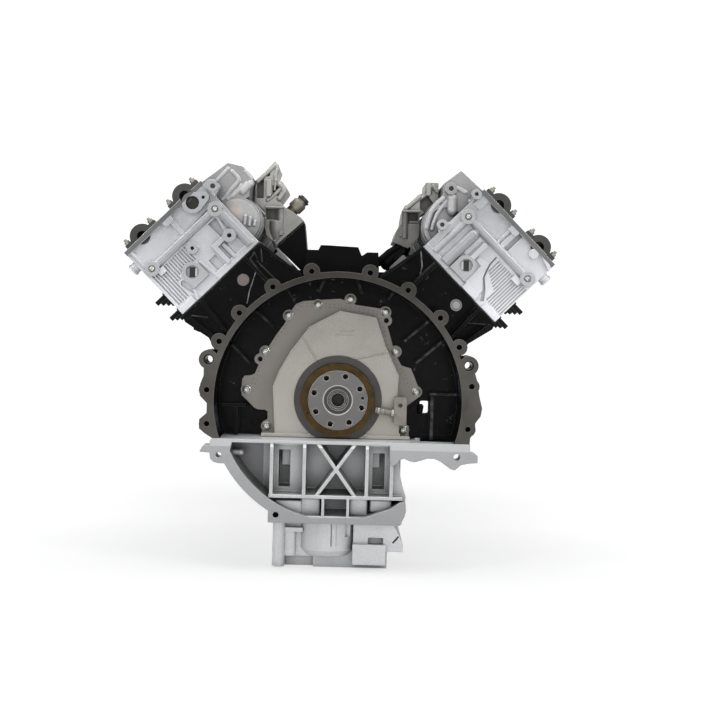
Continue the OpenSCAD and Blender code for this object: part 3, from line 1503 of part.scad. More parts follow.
module front_cover() {
    color([0.72, 0.73, 0.74]) difference() {
        along_y(block_front + seat_gap, cover_front_y) difference() {
            cover_outline(0);
            translate([-200, joint_z - 300]) square([400, 300.3]);
        }
        along_y(block_front - 1, cover_front_y - cover_wall) cover_outline(cover_wall);
        // Room for the right bank, which reaches further forward
        bank(1) translate([-head_in_w - 40, head_y0, bank_foot_h - 1])
            cube([head_in_w + head_out_w + 80, head_y1 - head_y0 + seat_gap, 500]);
        round_y(26, block_front, cover_front_y + 1);
    }
}

module front_cover_bolts() {
    color([0.75, 0.74, 0.7]) for (side = [-1, 1]) bank(side)
        for (w = [-76, 78], h = [140, 200, 260, 320])
            translate([w, cover_front_y - side * bank_stagger / 2 + seat_gap, h])
                rotate([-90, 0, 0]) hex_head(10, 6);
}

cylinder_block();
main_bearing_caps();
main_cap_bolts();
main_bearing_shells();
crankshaft();
reluctor_ring();
crank_sprocket();
crank_damper();
damper_bolt();
pistons();
piston_rings();
wrist_pins();
connecting_rods();
rod_caps();
rod_bolts();
rear_cover();
rear_cover_bolts();
rear_seal();
crank_speed_sensor();
core_plugs();
upper_sump();
lower_sump();
sump_bolts();
drain_plug();
oil_pickup();
oil_pump();
left_head();
right_head();
head_end_bolts();
head_gaskets();
head_bolts();
left_intake_camshaft();
left_exhaust_camshaft();
right_intake_camshaft();
right_exhaust_camshaft();
left_cam_caps();
right_cam_caps();
cam_cap_bolts();
valves();
valve_springs();
finger_followers();
lash_adjusters();
exhaust_studs();
left_inlet_plenum();
right_inlet_plenum();
left_valve_housing();
right_valve_housing();
valley_housing();
coolant_pipes();
coolant_sensor();
timing_chains();
chain_guides();
front_cover();
front_cover_bolts();
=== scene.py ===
import math

import bmesh
import bpy
from mathutils import Matrix, Vector


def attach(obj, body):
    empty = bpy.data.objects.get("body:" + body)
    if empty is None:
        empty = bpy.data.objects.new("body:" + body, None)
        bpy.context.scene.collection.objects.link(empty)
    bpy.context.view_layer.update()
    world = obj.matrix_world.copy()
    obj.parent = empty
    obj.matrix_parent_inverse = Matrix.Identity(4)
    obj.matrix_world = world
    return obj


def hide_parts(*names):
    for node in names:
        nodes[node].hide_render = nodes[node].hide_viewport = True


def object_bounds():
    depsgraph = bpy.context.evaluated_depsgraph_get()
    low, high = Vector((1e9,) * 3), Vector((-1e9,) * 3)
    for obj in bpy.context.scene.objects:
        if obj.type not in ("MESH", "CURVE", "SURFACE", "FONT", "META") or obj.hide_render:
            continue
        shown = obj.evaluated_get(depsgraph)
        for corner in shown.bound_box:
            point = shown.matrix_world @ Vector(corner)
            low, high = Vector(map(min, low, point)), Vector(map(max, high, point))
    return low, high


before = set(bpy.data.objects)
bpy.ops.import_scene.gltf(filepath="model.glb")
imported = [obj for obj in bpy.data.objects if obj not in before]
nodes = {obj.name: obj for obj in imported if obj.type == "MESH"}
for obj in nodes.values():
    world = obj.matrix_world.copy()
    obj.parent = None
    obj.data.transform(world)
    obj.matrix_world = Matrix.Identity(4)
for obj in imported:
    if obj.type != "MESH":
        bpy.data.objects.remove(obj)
cad_low, cad_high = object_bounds()
scene = bpy.context.scene

# Camera: level with the bell ring and square to the crank axis, a little right of it.
# The vanishing point of the crank axis stands left of and above the frame's middle,
# which the two shifts give, and the engine leans a degree and a half clockwise.
lean = math.radians(1.45)
frame_wide, shift_across, shift_down = 720, 18, -50
eye = bpy.data.cameras.new("eye")
eye.lens, eye.sensor_width = 50.0, 36.0
eye.shift_x, eye.shift_y = shift_across / frame_wide, shift_down / frame_wide
camera = bpy.data.objects.new("camera", eye)
right = Vector((math.cos(lean), 0.0, math.sin(lean)))
up = Vector((-math.sin(lean), 0.0, math.cos(lean)))
back = Vector((0.0, -1.0, 0.0))
turn = Matrix((right, up, back)).transposed().to_4x4()
camera.matrix_world = Matrix.Translation((0.003, -1.560, 0.141)) @ turn
scene.collection.objects.link(camera)
scene.camera = camera
scene.view_settings.view_transform = "Standard"


# Stage: a white studio sweep under and behind the engine, two soft boxes, three narrow
# strip lights and a pale world. Rays from the camera and from gloss see plain white.
class Socket:
    """An output of a material's node that can be reckoned with."""

    def __init__(self, finish, output):
        self.finish, self.output = finish, output

    def __add__(self, other):
        return self.finish.sum("ADD", self, other)

    def __sub__(self, other):
        return self.finish.sum("SUBTRACT", self, other)

    def __rsub__(self, other):
        return self.finish.sum("SUBTRACT", other, self)

    def __mul__(self, other):
        return self.finish.sum("MULTIPLY", self, other)

    def __truediv__(self, other):
        return self.finish.sum("DIVIDE", self, other)

    def __lt__(self, other):
        return self.finish.sum("LESS_THAN", self, other)

    def __gt__(self, other):
        return self.finish.sum("GREATER_THAN", self, other)

    def __abs__(self):
        return self.finish.sum("ABSOLUTE", self)

    __radd__, __rmul__ = __add__, __mul__

    def within(self, low, high):
        """1 between two numbers, 0 outside them."""
        return (self > low) * (self < high)


class Finish:
    """A material, or the world, whose nodes are made by calls."""

    def __init__(self, name, holder=None):
        self.holder = holder or bpy.data.materials.new(name)
        self.holder.use_nodes = True
        self.tree = self.holder.node_tree
        self.shader = self.tree.nodes.get("Principled BSDF")

    def node(self, kind, settings=(), sockets=(), out=0):
        made = self.tree.nodes.new(kind)
        for key, value in dict(settings).items():
            setattr(made, key, value)
        for key, value in dict(sockets).items():
            self.feed(made.inputs[key], value)
        return Socket(self, made.outputs[out])

    def feed(self, socket, value):
        if isinstance(value, Socket):
            self.tree.links.new(value.output, socket)
        else:
            socket.default_value = value

    def sum(self, kind, *values):
        return self.node("ShaderNodeMath", {"operation": kind}, dict(enumerate(values)))

    def mix(self, share, first, second):
        """Colour between two colours, first at share 0."""
        first, second = [(*colour, 1.0) if isinstance(colour, tuple) else colour
                         for colour in (first, second)]
        return self.node("ShaderNodeMix", {"data_type": "RGBA"},
                         {0: share, 6: first, 7: second}, out=2)

    def place(self):
        """Object coordinates as a vector and as its three numbers."""
        where = self.node("ShaderNodeTexCoord", out="Object")
        apart = self.node("ShaderNodeSeparateXYZ", sockets={0: where}).output.node
        return where, *[Socket(self, output) for output in apart.outputs]

    def noise(self, where, scale, detail=2.0, rough=0.5):
        return self.node("ShaderNodeTexNoise", sockets={
            "Vector": where, "Scale": scale, "Detail": detail, "Roughness": rough})

    def span(self, value, low, high, to_low=0.0, to_high=1.0):
        return self.node("ShaderNodeMapRange", {"clamp": True}, {
            0: value, 1: low, 2: high, 3: to_low, 4: to_high})

    def hollows(self, reach):
        """1 in the open, 0 deep in a recess of about that size."""
        return self.node("ShaderNodeAmbientOcclusion", {"samples": 6},
                         {"Distance": reach}, out="AO")

    def bump(self, height, depth, strength=1.0, normal=None):
        sockets = {"Height": height, "Distance": depth, "Strength": strength}
        if normal:
            sockets["Normal"] = normal
        return self.node("ShaderNodeBump", sockets=sockets)

    def set(self, **values):
        """Feeds the main shader and gives the material back."""
        for key, value in values.items():
            label = key.replace("_", " ").title().replace("Ior", "IOR")
            self.feed(self.shader.inputs[label], value)
        return self.holder


def off_axis(across, along):
    """Distance from an axis, from the two coordinates across it."""
    return across.finish.sum("SQRT", across * across + along * along)


def seen_white(finish, lit, seen):
    """lit for most rays, seen for rays from the camera, gloss or glass."""
    path = finish.node("ShaderNodeLightPath").output.node
    share = (Socket(finish, path.outputs["Is Camera Ray"])
             + Socket(finish, path.outputs["Is Glossy Ray"])
             + Socket(finish, path.outputs["Is Transmission Ray"]))
    return finish.node("ShaderNodeMixShader", sockets={0: share, 1: lit, 2: seen})


world = bpy.data.worlds.new("studio")
scene.world = world
air = Finish("studio", world)
dim = air.node("ShaderNodeBackground", sockets={
    "Color": (0.95, 0.97, 1.0, 1), "Strength": 0.30})
white = air.node("ShaderNodeBackground", sockets={"Color": (1, 1, 1, 1), "Strength": 1.0})
air.feed(air.tree.nodes["World Output"].inputs["Surface"], seen_white(air, dim, white))

half_width, front_edge, bend_start, wall_top = 6.0, -5.0, 3.0, 6.0
bend_steps, floor_z = 8, cad_low.z
sweep = bmesh.new()
line = [sweep.verts.new((-half_width, y, floor_z)) for y in (front_edge, bend_start)]
for step in range(1, bend_steps + 1):
    bend = math.radians(90 * step / bend_steps)
    line.append(sweep.verts.new((-half_width, bend_start + math.sin(bend),
                                 floor_z + 1 - math.cos(bend))))
line.append(sweep.verts.new((-half_width, bend_start + 1, wall_top)))
edges = [sweep.edges.new(pair) for pair in zip(line, line[1:])]
drawn = bmesh.ops.extrude_edge_only(sweep, edges=edges)
bmesh.ops.translate(sweep, vec=(2 * half_width, 0.0, 0.0),
                    verts=[v for v in drawn["geom"] if isinstance(v, bmesh.types.BMVert)])
bmesh.ops.recalc_face_normals(sweep, faces=sweep.faces)
sweep_mesh = bpy.data.meshes.new("sweep")
sweep.to_mesh(sweep_mesh)
sweep.free()
sweep_object = bpy.data.objects.new("sweep", sweep_mesh)
scene.collection.objects.link(sweep_object)
for face in sweep_mesh.polygons:
    face.use_smooth = True

paper = Finish("studio_paper")
matt = paper.node("ShaderNodeBsdfDiffuse", sockets={"Color": (0.88, 0.88, 0.88, 1)})
shade = paper.node("ShaderNodeBsdfDiffuse", sockets={"Color": (0.40, 0.40, 0.40, 1)})
where, x, y, z = paper.place()
# Painted light on the floor: its glow is weaker next to the engine and grows further out,
# painting the floor brighter away from the engine so that the engine's shadow fades there.
glow = (paper.span(y, 0.0, 0.35, 0.60, 0.72)
        + paper.span(off_axis(x, y), 0.35, 3.6, 0.0, 0.18))
bright = paper.node("ShaderNodeEmission", sockets={
    "Color": paper.mix(glow, (0, 0, 0), (1, 1, 1)), "Strength": 1.0})
seen = paper.node("ShaderNodeAddShader", sockets={0: shade, 1: bright})
paper.feed(paper.tree.nodes["Material Output"].inputs["Surface"],
           seen_white(paper, matt, seen))
sweep_mesh.materials.append(paper.holder)


def soft_box(name, place, target, size, watts):
    lamp = bpy.data.lights.new(name, "AREA")
    lamp.shape, lamp.size, lamp.size_y, lamp.energy = "RECTANGLE", *size, watts
    holder = bpy.data.objects.new(name, lamp)
    holder.location = place
    aim = Vector(target) - Vector(place)
    holder.rotation_euler = aim.to_track_quat("-Z", "Y").to_euler()
    scene.collection.objects.link(holder)


soft_box("box_above", (0.0, -0.3, 2.2), (0.0, 0.1, 0.1), (2.2, 1.4), 30)
soft_box("box_front", (0.0, -2.6, 0.9), (0.0, 0.1, 0.0), (2.2, 1.2), 9)
soft_box("strip_left", (-1.3, -0.8, 1.05), (0.0, 0.1, 0.1), (0.06, 1.3), 9)
soft_box("strip_right", (1.3, -0.8, 1.05), (0.0, 0.1, 0.1), (0.06, 1.3), 9)
soft_box("strip_low", (0.0, -1.9, -0.1), (0.0, 0.1, 0.0), (1.5, 0.06), 4)


# Cylinder block: one grey iron casting, sprayed gloss black all over before machining.
# The bell flange, with its bosses, and the bores are bare metal, milled after painting.
def smooth(node_object):
    """Shades a CAD node's curved faces smooth and keeps its corners sharp."""
    weld = node_object.modifiers.new("join", "WELD")
    weld.merge_threshold = 1e-6
    part = node_object.modifiers.new("corners", "EDGE_SPLIT")
    part.split_angle = math.radians(35)
    for face in node_object.data.polygons:
        face.use_smooth = True


def dress(finish, *names):
    """Gives CAD nodes their finish."""
    for name in names:
        data = nodes[name].data
        data.materials.clear()
        data.materials.append(finish)
        smooth(nodes[name])


def edge_highlight_and_bevel(finish, radius, samples=6):
    """1 along outside and inside corners of that radius, 0 on plain faces, a mask that paints
    highlights along corners, and the rounded normal itself."""
    soft = finish.node("ShaderNodeBevel", {"samples": samples}, {"Radius": radius})
    true = finish.node("ShaderNodeNewGeometry", out="Normal")
    along = finish.node("ShaderNodeVectorMath", {"operation": "DOT_PRODUCT"},
                        {0: soft, 1: true}, out="Value")
    return finish.span(along, 0.999, 0.90), soft


def darker(colour, share):
    """The same colour at that share of its brightness."""
    return tuple(share * channel for channel in colour)


def milled(finish, where):
    """Colour and roughness of a face mill's overlapping arcs on bare metal."""
    tone = (0.085, 0.080, 0.072)
    arcs = finish.node("ShaderNodeTexWave", {
        "wave_type": "RINGS", "rings_direction": "SPHERICAL", "wave_profile": "SAW"},
        {"Vector": where, "Scale": 130.0, "Distortion": 0.6, "Detail": 2.0})
    cloud = finish.noise(where, 22.0, 4.0)
    colour = finish.mix(finish.span(cloud, 0.35, 0.7), tone, darker(tone, 0.68))
    return colour, arcs * 0.08 + cloud * 0.16 + 0.30


bell_face = -0.0246
enamel = Finish("block_black_enamel")
where, x, y, z = enamel.place()
from_crank = x * x + z * z
peel = enamel.noise(where, 95.0, 3.0, 0.6)
sand = enamel.noise(where, 700.0, 2.0)
dust = enamel.noise(where, 14.0, 5.0, 0.62)
streak = enamel.noise(where, 48.0, 3.0, 0.6)
spot = enamel.span(enamel.noise(where, 64.0, 5.0, 0.7), 0.615, 0.70)
edge, soft = edge_highlight_and_bevel(enamel, 0.0018)
black = enamel.mix(enamel.span(dust, 0.45, 0.8), (0.0022, 0.0022, 0.0025),
                   (0.005, 0.005, 0.0055))
# Painted highlights along the enamel's corners, broken up by the dust noise.
black = enamel.mix(edge * enamel.span(dust, 0.3, 0.7) * 0.8, black, (0.075, 0.076, 0.078))
# Painted highlights on the crests of the ribs in the bell, except in its lower left quarter,
# stronger to the right and broken into streaks.
rib_top = (y.within(0.0192, 0.0208) * (from_crank < 0.0352)
           * ((x > 0.0) + (z > 0.02) > 0.5))
black = enamel.mix(rib_top * enamel.span(x, -0.1, 0.1, 0.3, 0.8)
                   * enamel.span(streak, 0.42, 0.66, 0.12, 1.0),
                   black, (0.13, 0.132, 0.136))
# A soft sheen along the inside of the bell's wall, lower on the left than on the right.
sheen_z = enamel.span(x, -0.001, 0.001, -0.030, 0.028)
bell_wall = y.within(-0.0235, 0.018) * (from_crank > 0.165 ** 2)
sheen = bell_wall * enamel.span(abs(z - sheen_z), 0.004, 0.026, 1.0, 0.0)
black = enamel.mix(sheen * enamel.span(streak, 0.35, 0.6, 0.3, 1.0), black,
                   (0.05, 0.056, 0.068))
# Painted reflections: small bright blotches on the black, broken up by the streak noise.
black = enamel.mix(spot * enamel.span(streak, 0.50, 0.58) * 0.8, black,
                   (0.13, 0.135, 0.145))
bare = y < bell_face
land_colour, land_rough = milled(enamel, where)
# The milled land is darker towards the top of the bell, and has painted highlights along its
# corners.
land_colour = enamel.mix(enamel.span(z, 0.10, 0.19, 0.0, 0.5), land_colour,
                         (0.01, 0.0095, 0.0085))
land_colour = enamel.mix(edge * 0.5, land_colour, (0.22, 0.21, 0.20))
enamel.set(base_color=enamel.mix(bare, black, land_colour), metallic=bare * 0.35,
           roughness=bare * land_rough + (1 - bare) * (peel * 0.14 + dust * 0.1 + 0.09),
           specular_ior_level=0.045,
           normal=enamel.bump(peel * 0.6 + sand * 0.25, 0.0011, (1 - bare) * 0.55 + 0.04,
                              soft))
dress(enamel.holder, "cylinder_block")


# Cast ridges on the block's rear faces, between the bell ring and the heads, under the same
# enamel. Their crests are painted patchily lighter grey, a painted highlight for the light
# they catch.
def bead(mesh, points, radius):
    """A round-ended bar through points, all given in millimetres."""
    ends = [Vector(p) / 1000 for p in points]
    for a, b in zip(ends, ends[1:]):
        turn_to = (b - a).to_track_quat("Z", "Y").to_matrix().to_4x4()
        bmesh.ops.create_cone(mesh, cap_ends=True, segments=12, radius1=radius / 1000,
                              radius2=radius / 1000, depth=(b - a).length,
                              matrix=Matrix.Translation((a + b) / 2) @ turn_to)
    for p in ends:
        bmesh.ops.create_uvsphere(mesh, u_segments=12, v_segments=8, radius=radius / 1000,
                                  matrix=Matrix.Translation(p))


def beads(rows):
    """A mesh of such bars, from rows of a radius and the points."""
    mesh = bmesh.new()
    for radius, points in rows:
        bead(mesh, points, radius)
    return mesh


def pad(mesh, size, middle):
    """A square-edged pad of that size round a middle, both in millimetres."""
    bmesh.ops.create_cube(mesh, matrix=Matrix.Translation(Vector(middle) / 1000)
                          @ Matrix.Diagonal(Vector((*size, 1000.0)) / 1000))


def piece(name, mesh, finish, replaces=()):
    """Finishes a mesh as an object that rides on the engine and stands for CAD nodes."""
    bmesh.ops.recalc_face_normals(mesh, faces=mesh.faces)
    data = bpy.data.meshes.new(name)
    mesh.to_mesh(data)
    mesh.free()
    data.materials.append(finish)
    for face in data.polygons:
        face.use_smooth = True
    data.set_sharp_from_angle(angle=math.radians(40))
    made = bpy.data.objects.new(name, data)
    scene.collection.objects.link(made)
    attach(made, "engine")
    if replaces:
        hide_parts(*replaces)


ridge_highlight = Finish("ridge_highlight_enamel")
where, *_ = ridge_highlight.place()
highlight_patches = ridge_highlight.noise(where, 60.0, 4.0, 0.6)
soft = edge_highlight_and_bevel(ridge_highlight, 0.001, 4)[1]
# Painted highlight: patches of lighter grey on the ridges' crests.
ridge_highlight.set(base_color=ridge_highlight.mix(ridge_highlight.span(highlight_patches, 0.35, 0.7), (0.012, 0.012, 0.013),
                                 (0.07, 0.071, 0.073)),
           roughness=highlight_patches * 0.2 + 0.12, specular_ior_level=0.25,
           normal=ridge_highlight.bump(highlight_patches, 0.0006, 0.4, soft))
piece("block_rear_ridges", beads([
    (2.4, [(-143, 10, 217), (-119, 10, 185)]), (1.8, [(-132, 10, 214), (-100, 10, 184)]),
    (1.3, [(-142, 10, 219), (-137, 10, 228), (-132, 10, 219)]),
    (1.5, [(-124, 10, 213), (-126, 10, 233)]),
    (2.0, [(-217, 10, 148), (-198, 10, 128), (-180, 10, 107)]),
    (1.4, [(-232, 10, 126), (-207, 10, 124)]),
    (2.6, [(116, 32, 188), (147, 32, 218)]),
    (1.5, [(204, 32, 125), (239, 32, 123), (213, 32, 100)])]), ridge_highlight.holder)

# Lug in the window of the block's rear wall, and the strip of wall under that window,
# both cast with the block and sprayed with it.
window_lug = beads([(4.6, [(131.5, 36, -17), (132.5, 36, -10)])])
pad(window_lug, (54, 8, 13), (160, 40, -60))
piece("window_lug", window_lug, enamel.holder)

# The ridges that stand furthest out of the rear faces, with painted highlights along their
# crests: patches of light grey where the crests would catch the light.
crest_highlight = Finish("crest_highlight_enamel")
where, *_ = crest_highlight.place()
highlight_patches = crest_highlight.noise(where, 110.0, 4.0, 0.7)
# Painted highlight: light grey patches standing for the light on the crests.
crest_highlight.set(base_color=crest_highlight.mix(crest_highlight.span(highlight_patches, 0.32, 0.62), (0.03, 0.03, 0.032),
                                   (0.34, 0.345, 0.35)),
            roughness=highlight_patches * 0.2 + 0.15, specular_ior_level=0.4,
            normal=crest_highlight.bump(highlight_patches, 0.0006, 0.5))
piece("block_bright_ridges", beads([
    (1.0, [(-134, 10, 196), (-138, 10, 183), (-143, 10, 167), (-146, 10, 148)]),
    (1.3, [(126, 32, 238), (128.5, 32, 214), (126, 32, 201)]),
    (1.5, [(211, 32, 143), (182, 32, 103)])]), crest_highlight.holder)


# Main bearing caps, their bolts and the shells: iron caps split from the block, held by
# two bolts each, with thin lead-grey half shells between them and the journals.
def lighter(colour, times, more=0.0):
    """The same colour brighter, no channel over 1."""
    return tuple(min(1.0, times * channel + more) for channel in colour)


def plain_metal(name, tone, rough=0.35, metal=1.0, grain=0.25, gloss=0.5):
    """Bare metal with a fine grain, slight clouds and rounded corners, with a painted
    highlight along the corners.
    """
    finish = Finish(name)
    where, *_ = finish.place()
    cloud = finish.noise(where, 30.0, 4.0)
    fine = finish.noise(where, 420.0, 2.0)
    edge, soft = edge_highlight_and_bevel(finish, 0.0005, 4)
    colour = finish.mix(finish.span(cloud, 0.3, 0.75), tone, darker(tone, 0.7))
    colour = finish.mix(edge * 0.4, colour, lighter(tone, 1.5, 0.02))
    return finish.set(base_color=colour, metallic=metal, specular_ior_level=gloss,
                      roughness=cloud * 0.18 + fine * 0.08 + (rough - 0.12),
                      normal=finish.bump(fine, 0.0004, grain, soft))


dress(plain_metal("cap_iron", (0.13, 0.13, 0.135), 0.5), "main_bearing_caps")
dress(plain_metal("black_oxide_steel", (0.10, 0.095, 0.09), 0.42), "main_cap_bolts",
      "rod_bolts", "head_bolts", "damper_bolt")
dress(plain_metal("bearing_grey", (0.42, 0.40, 0.37), 0.3), "main_bearing_shells")


# Crankshaft: forged steel, turned and ground. The flange face shows the lathe's rings round
# the pilot recess, with painted highlights on the recess's rim, the pilot's lip and the
# corners round its holes, painted shade in the pilot bore and the holes, and webs keep a
# darker scale.
def turned(finish, across, along, pitch):
    """Fine rings about an axis, from the two coordinates across it, and the radius."""
    radius = off_axis(across, along)
    row = finish.node("ShaderNodeCombineXYZ", sockets={0: radius})
    return finish.noise(row, pitch, 2.0), radius


shaft = Finish("turned_crank_steel")
where, x, y, z = shaft.place()
rings, radius = turned(shaft, x, z, 2600.0)
cloud = shaft.noise(where, 26.0, 4.0)
edge, soft = edge_highlight_and_bevel(shaft, 0.0007)
recess = radius.within(0.012, 0.0212)
recess_rim, pilot_lip = radius.within(0.0224, 0.0236), radius.within(0.0160, 0.0168)
ground = shaft.mix(rings, (0.118, 0.116, 0.112), (0.066, 0.065, 0.063))
ground = shaft.mix(recess, ground, (0.036, 0.035, 0.033))
# Painted highlights: bright rings on the recess's rim and the pilot's lip.
ground = shaft.mix(recess_rim * 0.9 + pilot_lip * 0.4, ground, (0.42, 0.41, 0.39))
flywheel_holes, first_hole, hole_circle, hole_mouth = 8, 28.5, 0.03875, 0.0061
for hole in range(flywheel_holes):
    turned_by = math.radians(first_hole + 360 / flywheel_holes * hole)
    dx, dz = x - hole_circle * math.cos(turned_by), z - hole_circle * math.sin(turned_by)
    # Painted highlights round the mouths of the flywheel bolt holes.
    ground = shaft.mix(((dx * dx + dz * dz) < hole_mouth ** 2) * 0.5, ground,
                       (0.16, 0.156, 0.146))
forged = shaft.mix(cloud, (0.09, 0.085, 0.08), (0.14, 0.13, 0.12))
webs = (y > 0.085) * (radius > 0.0335)
steel = shaft.mix(webs, ground, forged)
steel = shaft.mix(edge * 0.8, steel, (0.66, 0.65, 0.62))
# Painted shade: dark inside the pilot bore, and near black deep in the holes and other
# recesses.
pilot_bore = y.within(0.0065, 0.03) * (radius < 0.0134)
steel = shaft.mix(pilot_bore, steel, (0.03, 0.03, 0.028))
steel = shaft.mix(shaft.span(shaft.hollows(0.02), 0.42, 0.18), steel, (0.003, 0.003, 0.003))
shaft.set(base_color=steel, metallic=0.9,
          roughness=rings * 0.12 + cloud * 0.12 + webs * 0.2 + 0.24,
          normal=shaft.bump(rings, 0.0002, 0.3, soft))
dress(shaft.holder, "crankshaft")


# Reluctor ring: a pressed steel ring shrunk on the crank flange, passivated to a dark
# golden brown, with the speed sensor's windows cut round its front half.
golden = Finish("golden_passivate")
where, x, y, z = golden.place()
rings, radius = turned(golden, x, z, 1500.0)
stain = golden.noise(where, 60.0, 4.0, 0.6)
edge, soft = edge_highlight_and_bevel(golden, 0.0006)
gold = golden.mix(golden.span(stain, 0.35, 0.7), (0.052, 0.031, 0.008),
                  (0.024, 0.015, 0.005))
# Painted highlight along the ring's corners.
gold = golden.mix(edge * 0.5, gold, (0.30, 0.22, 0.10))
golden.set(base_color=gold, metallic=0.6, specular_ior_level=0.2,
           roughness=rings * 0.2 + stain * 0.15 + 0.24,
           normal=golden.bump(rings, 0.0002, 0.4, soft))
dress(golden.holder, "reluctor_ring")

# Timing drive at the front: hardened sprocket, chains and finger followers, wet with oil,
# and the crank damper, an iron ring on rubber that is painted black.
dress(plain_metal("oiled_steel", (0.22, 0.215, 0.21), 0.3), "crank_sprocket",
      "timing_chains", "finger_followers")
dress(plain_metal("damper_black", (0.022, 0.022, 0.023), 0.45, 0.0, 0.4), "crank_damper")

# Pistons, rings, wrist pins, rods and caps: out of sight in the closed block, in the
# finish that each has, a machined light alloy, ground steel and peened forgings.
dress(plain_metal("piston_alloy", (0.55, 0.55, 0.56), 0.32), "pistons")
dress(plain_metal("ground_steel", (0.45, 0.445, 0.44), 0.22), "piston_rings", "wrist_pins",
      "lash_adjusters")
dress(plain_metal("peened_forging", (0.19, 0.185, 0.18), 0.5, 1.0, 0.7), "connecting_rods",
      "rod_caps")


# Rear cover: a thin die casting in warm grey alloy that closes the rear of the block round the
# crank, bolted flat to the rear wall. Two rows of small punched dimples run along its rim,
# painted as dark dots of shade, and thin ridges cross its skin.
def cast_alloy(name, tone, shade, rough=0.45, metal=0.4, depth=0.0006, edge_radius=0.0016,
               recess_shade=0.5, reach=0.022, edge_light=1.35, milled_faces=None,
               milled_tone=0.85, marks=None, lift=None, lift_by=1.5, deep=0.94):
    """Cast light alloy: a sandy skin, rounded corners with a painted highlight along them, and
    painted shade in the recesses, near black in deep ones. milled_faces, marks and lift make
    masks from the place, of smooth faces, of marks and of where the colour is lighter."""
    finish = Finish(name)
    where, x, y, z = finish.place()
    cloud = finish.noise(where, 16.0, 5.0, 0.6)
    skin = finish.noise(where, 520.0, 3.0, 0.65)
    pits = finish.noise(where, 190.0, 2.0)
    edge, soft = edge_highlight_and_bevel(finish, edge_radius)
    hollow = finish.hollows(reach)
    colour = finish.mix(finish.span(cloud, 0.35, 0.72), tone, shade)
    colour = finish.mix(finish.span(skin, 0.62, 0.40, 0.0, 0.30), colour,
                        darker(shade, 0.6))
    if lift:
        colour = finish.mix(lift(finish, x, y, z), colour, lighter(tone, lift_by))
    # Painted shade: darker in recesses, near black deep in them.
    colour = finish.mix(finish.span(hollow, 0.86, 0.30, 0.0, recess_shade), colour,
                        darker(shade, 0.22))
    colour = finish.mix(finish.span(hollow, 0.34, 0.12, 0.0, deep), colour,
                        (0.004, 0.004, 0.004))
    # Painted highlight along the corners.
    colour = finish.mix(edge * 0.6, colour, lighter(tone, edge_light))
    surface = cloud * 0.14 + skin * 0.16 + (rough - 0.15)
    strength = 0.5
    if milled_faces:
        face = milled_faces(finish, x, y, z)
        surface = face * 0.3 + (1 - face) * surface
        strength = (1 - face) * 0.5 + 0.02
        colour = finish.mix(face * 0.7, colour, darker(shade, milled_tone))
    for mask, mark in marks(finish, x, y, z) if marks else ():
        colour = finish.mix(mask, colour, mark)
    return finish.set(base_color=colour, metallic=metal, roughness=surface,
                      specular_ior_level=0.4,
                      normal=finish.bump(skin * 0.7 + pits * 0.3, depth, strength, soft))


dimple_lines = [
    [(-0.1100, -0.0416), (-0.1114, -0.0167)],
    [(-0.1350, 0.0174), (-0.1289, 0.0445), (-0.1003, 0.0953), (-0.0763, 0.1325),
     (-0.0632, 0.1482), (-0.0015, 0.1469), (0.0603, 0.1369)],
    [(0.0624, 0.1322), (0.0719, 0.0977), (0.0763, 0.0786), (0.0893, 0.0577),
     (0.1052, 0.0370), (0.1095, 0.0197)]]
dimple_pitch, dimple_radius, rows_apart = 0.0072, 0.00075, 0.0048
cover_foot = 0.0255


def cover_marks(finish, x, y, z):
    """The darker edge against the block, and dark dots of painted shade for the dimples in two
    rows along the rim.
    """
    found = y < -1.0
    for corners in dimple_lines:
        for (ax, az), (bx, bz) in zip(corners, corners[1:]):
            length = math.hypot(bx - ax, bz - az)
            ux, uz = (bx - ax) / length, (bz - az) / length
            along = (x - ax) * ux + (z - az) * uz
            across = (z - az) * ux - (x - ax) * uz
            row = abs(across) - rows_apart / 2
            step = (finish.sum("FRACT", along / dimple_pitch) - 0.5) * dimple_pitch
            # Painted shade: each dimple is a dark dot.
            dot = (row * row + step * step) < dimple_radius ** 2
            found = finish.sum("MAXIMUM", found, dot * (along > 0.0) * (along < length))
    return (y > cover_foot, (0.22, 0.207, 0.187)), (found * 0.85, (0.04, 0.037, 0.032))


def lower_cover(finish, x, y, z):
    """Grows from the top of the rear cover to its foot."""
    return finish.span(z, 0.10, -0.06)


cover_alloy = cast_alloy("cover_warm_alloy", (0.35, 0.333, 0.303), (0.28, 0.265, 0.240),
                         0.5, 0.2, recess_shade=0.3, edge_light=2.2, edge_radius=0.0012,
                         marks=cover_marks, lift=lower_cover, lift_by=1.12)
dress(cover_alloy, "rear_cover")
plateau_rim = [(-98, -44), (-102, 18), (-93, 42), (-75, 75), (-47, 113), (0, 139),
               (57, 130), (72, 87), (94, 40), (92, -10)]
piece("cover_ribs", beads([
    (1.2, [(-55.7, 13.7, 95.4), (-34.3, 13.7, 61.3)]), (1.4, [(22, 14.0, 64), (72, 14.0, 75)]),
    (1.0, [(-2, 14.2, 107.4), (24, 14.2, 108)]), (1.0, [(-6, 14.2, 102), (24, 14.2, 102.7)]),
    (2.0, [(75, 20, -38), (77, 20, -57)]), (2.0, [(91, 20, -42), (91, 20, -57)]),
    (2.2, [(41, 24, -56), (60, 24, -50), (72, 24, -38)]),
    (1.35, [(px, 14.7, pz) for px, pz in plateau_rim])]), cover_alloy)


# Bolts of the rear cover: zinc plated flange bolts with a domed head and a hexagon
# socket, their flanges down on the spot faces. The sump, the front cover and the heads'
# ends are held by bolts with the same plating.
def settle(mesh, place):
    """Puts what was added to a mesh since the last call in its place."""
    fresh = [v for v in mesh.verts if not v.tag]
    bmesh.ops.transform(mesh, matrix=place, verts=fresh)
    for vertex in fresh:
        vertex.tag = True


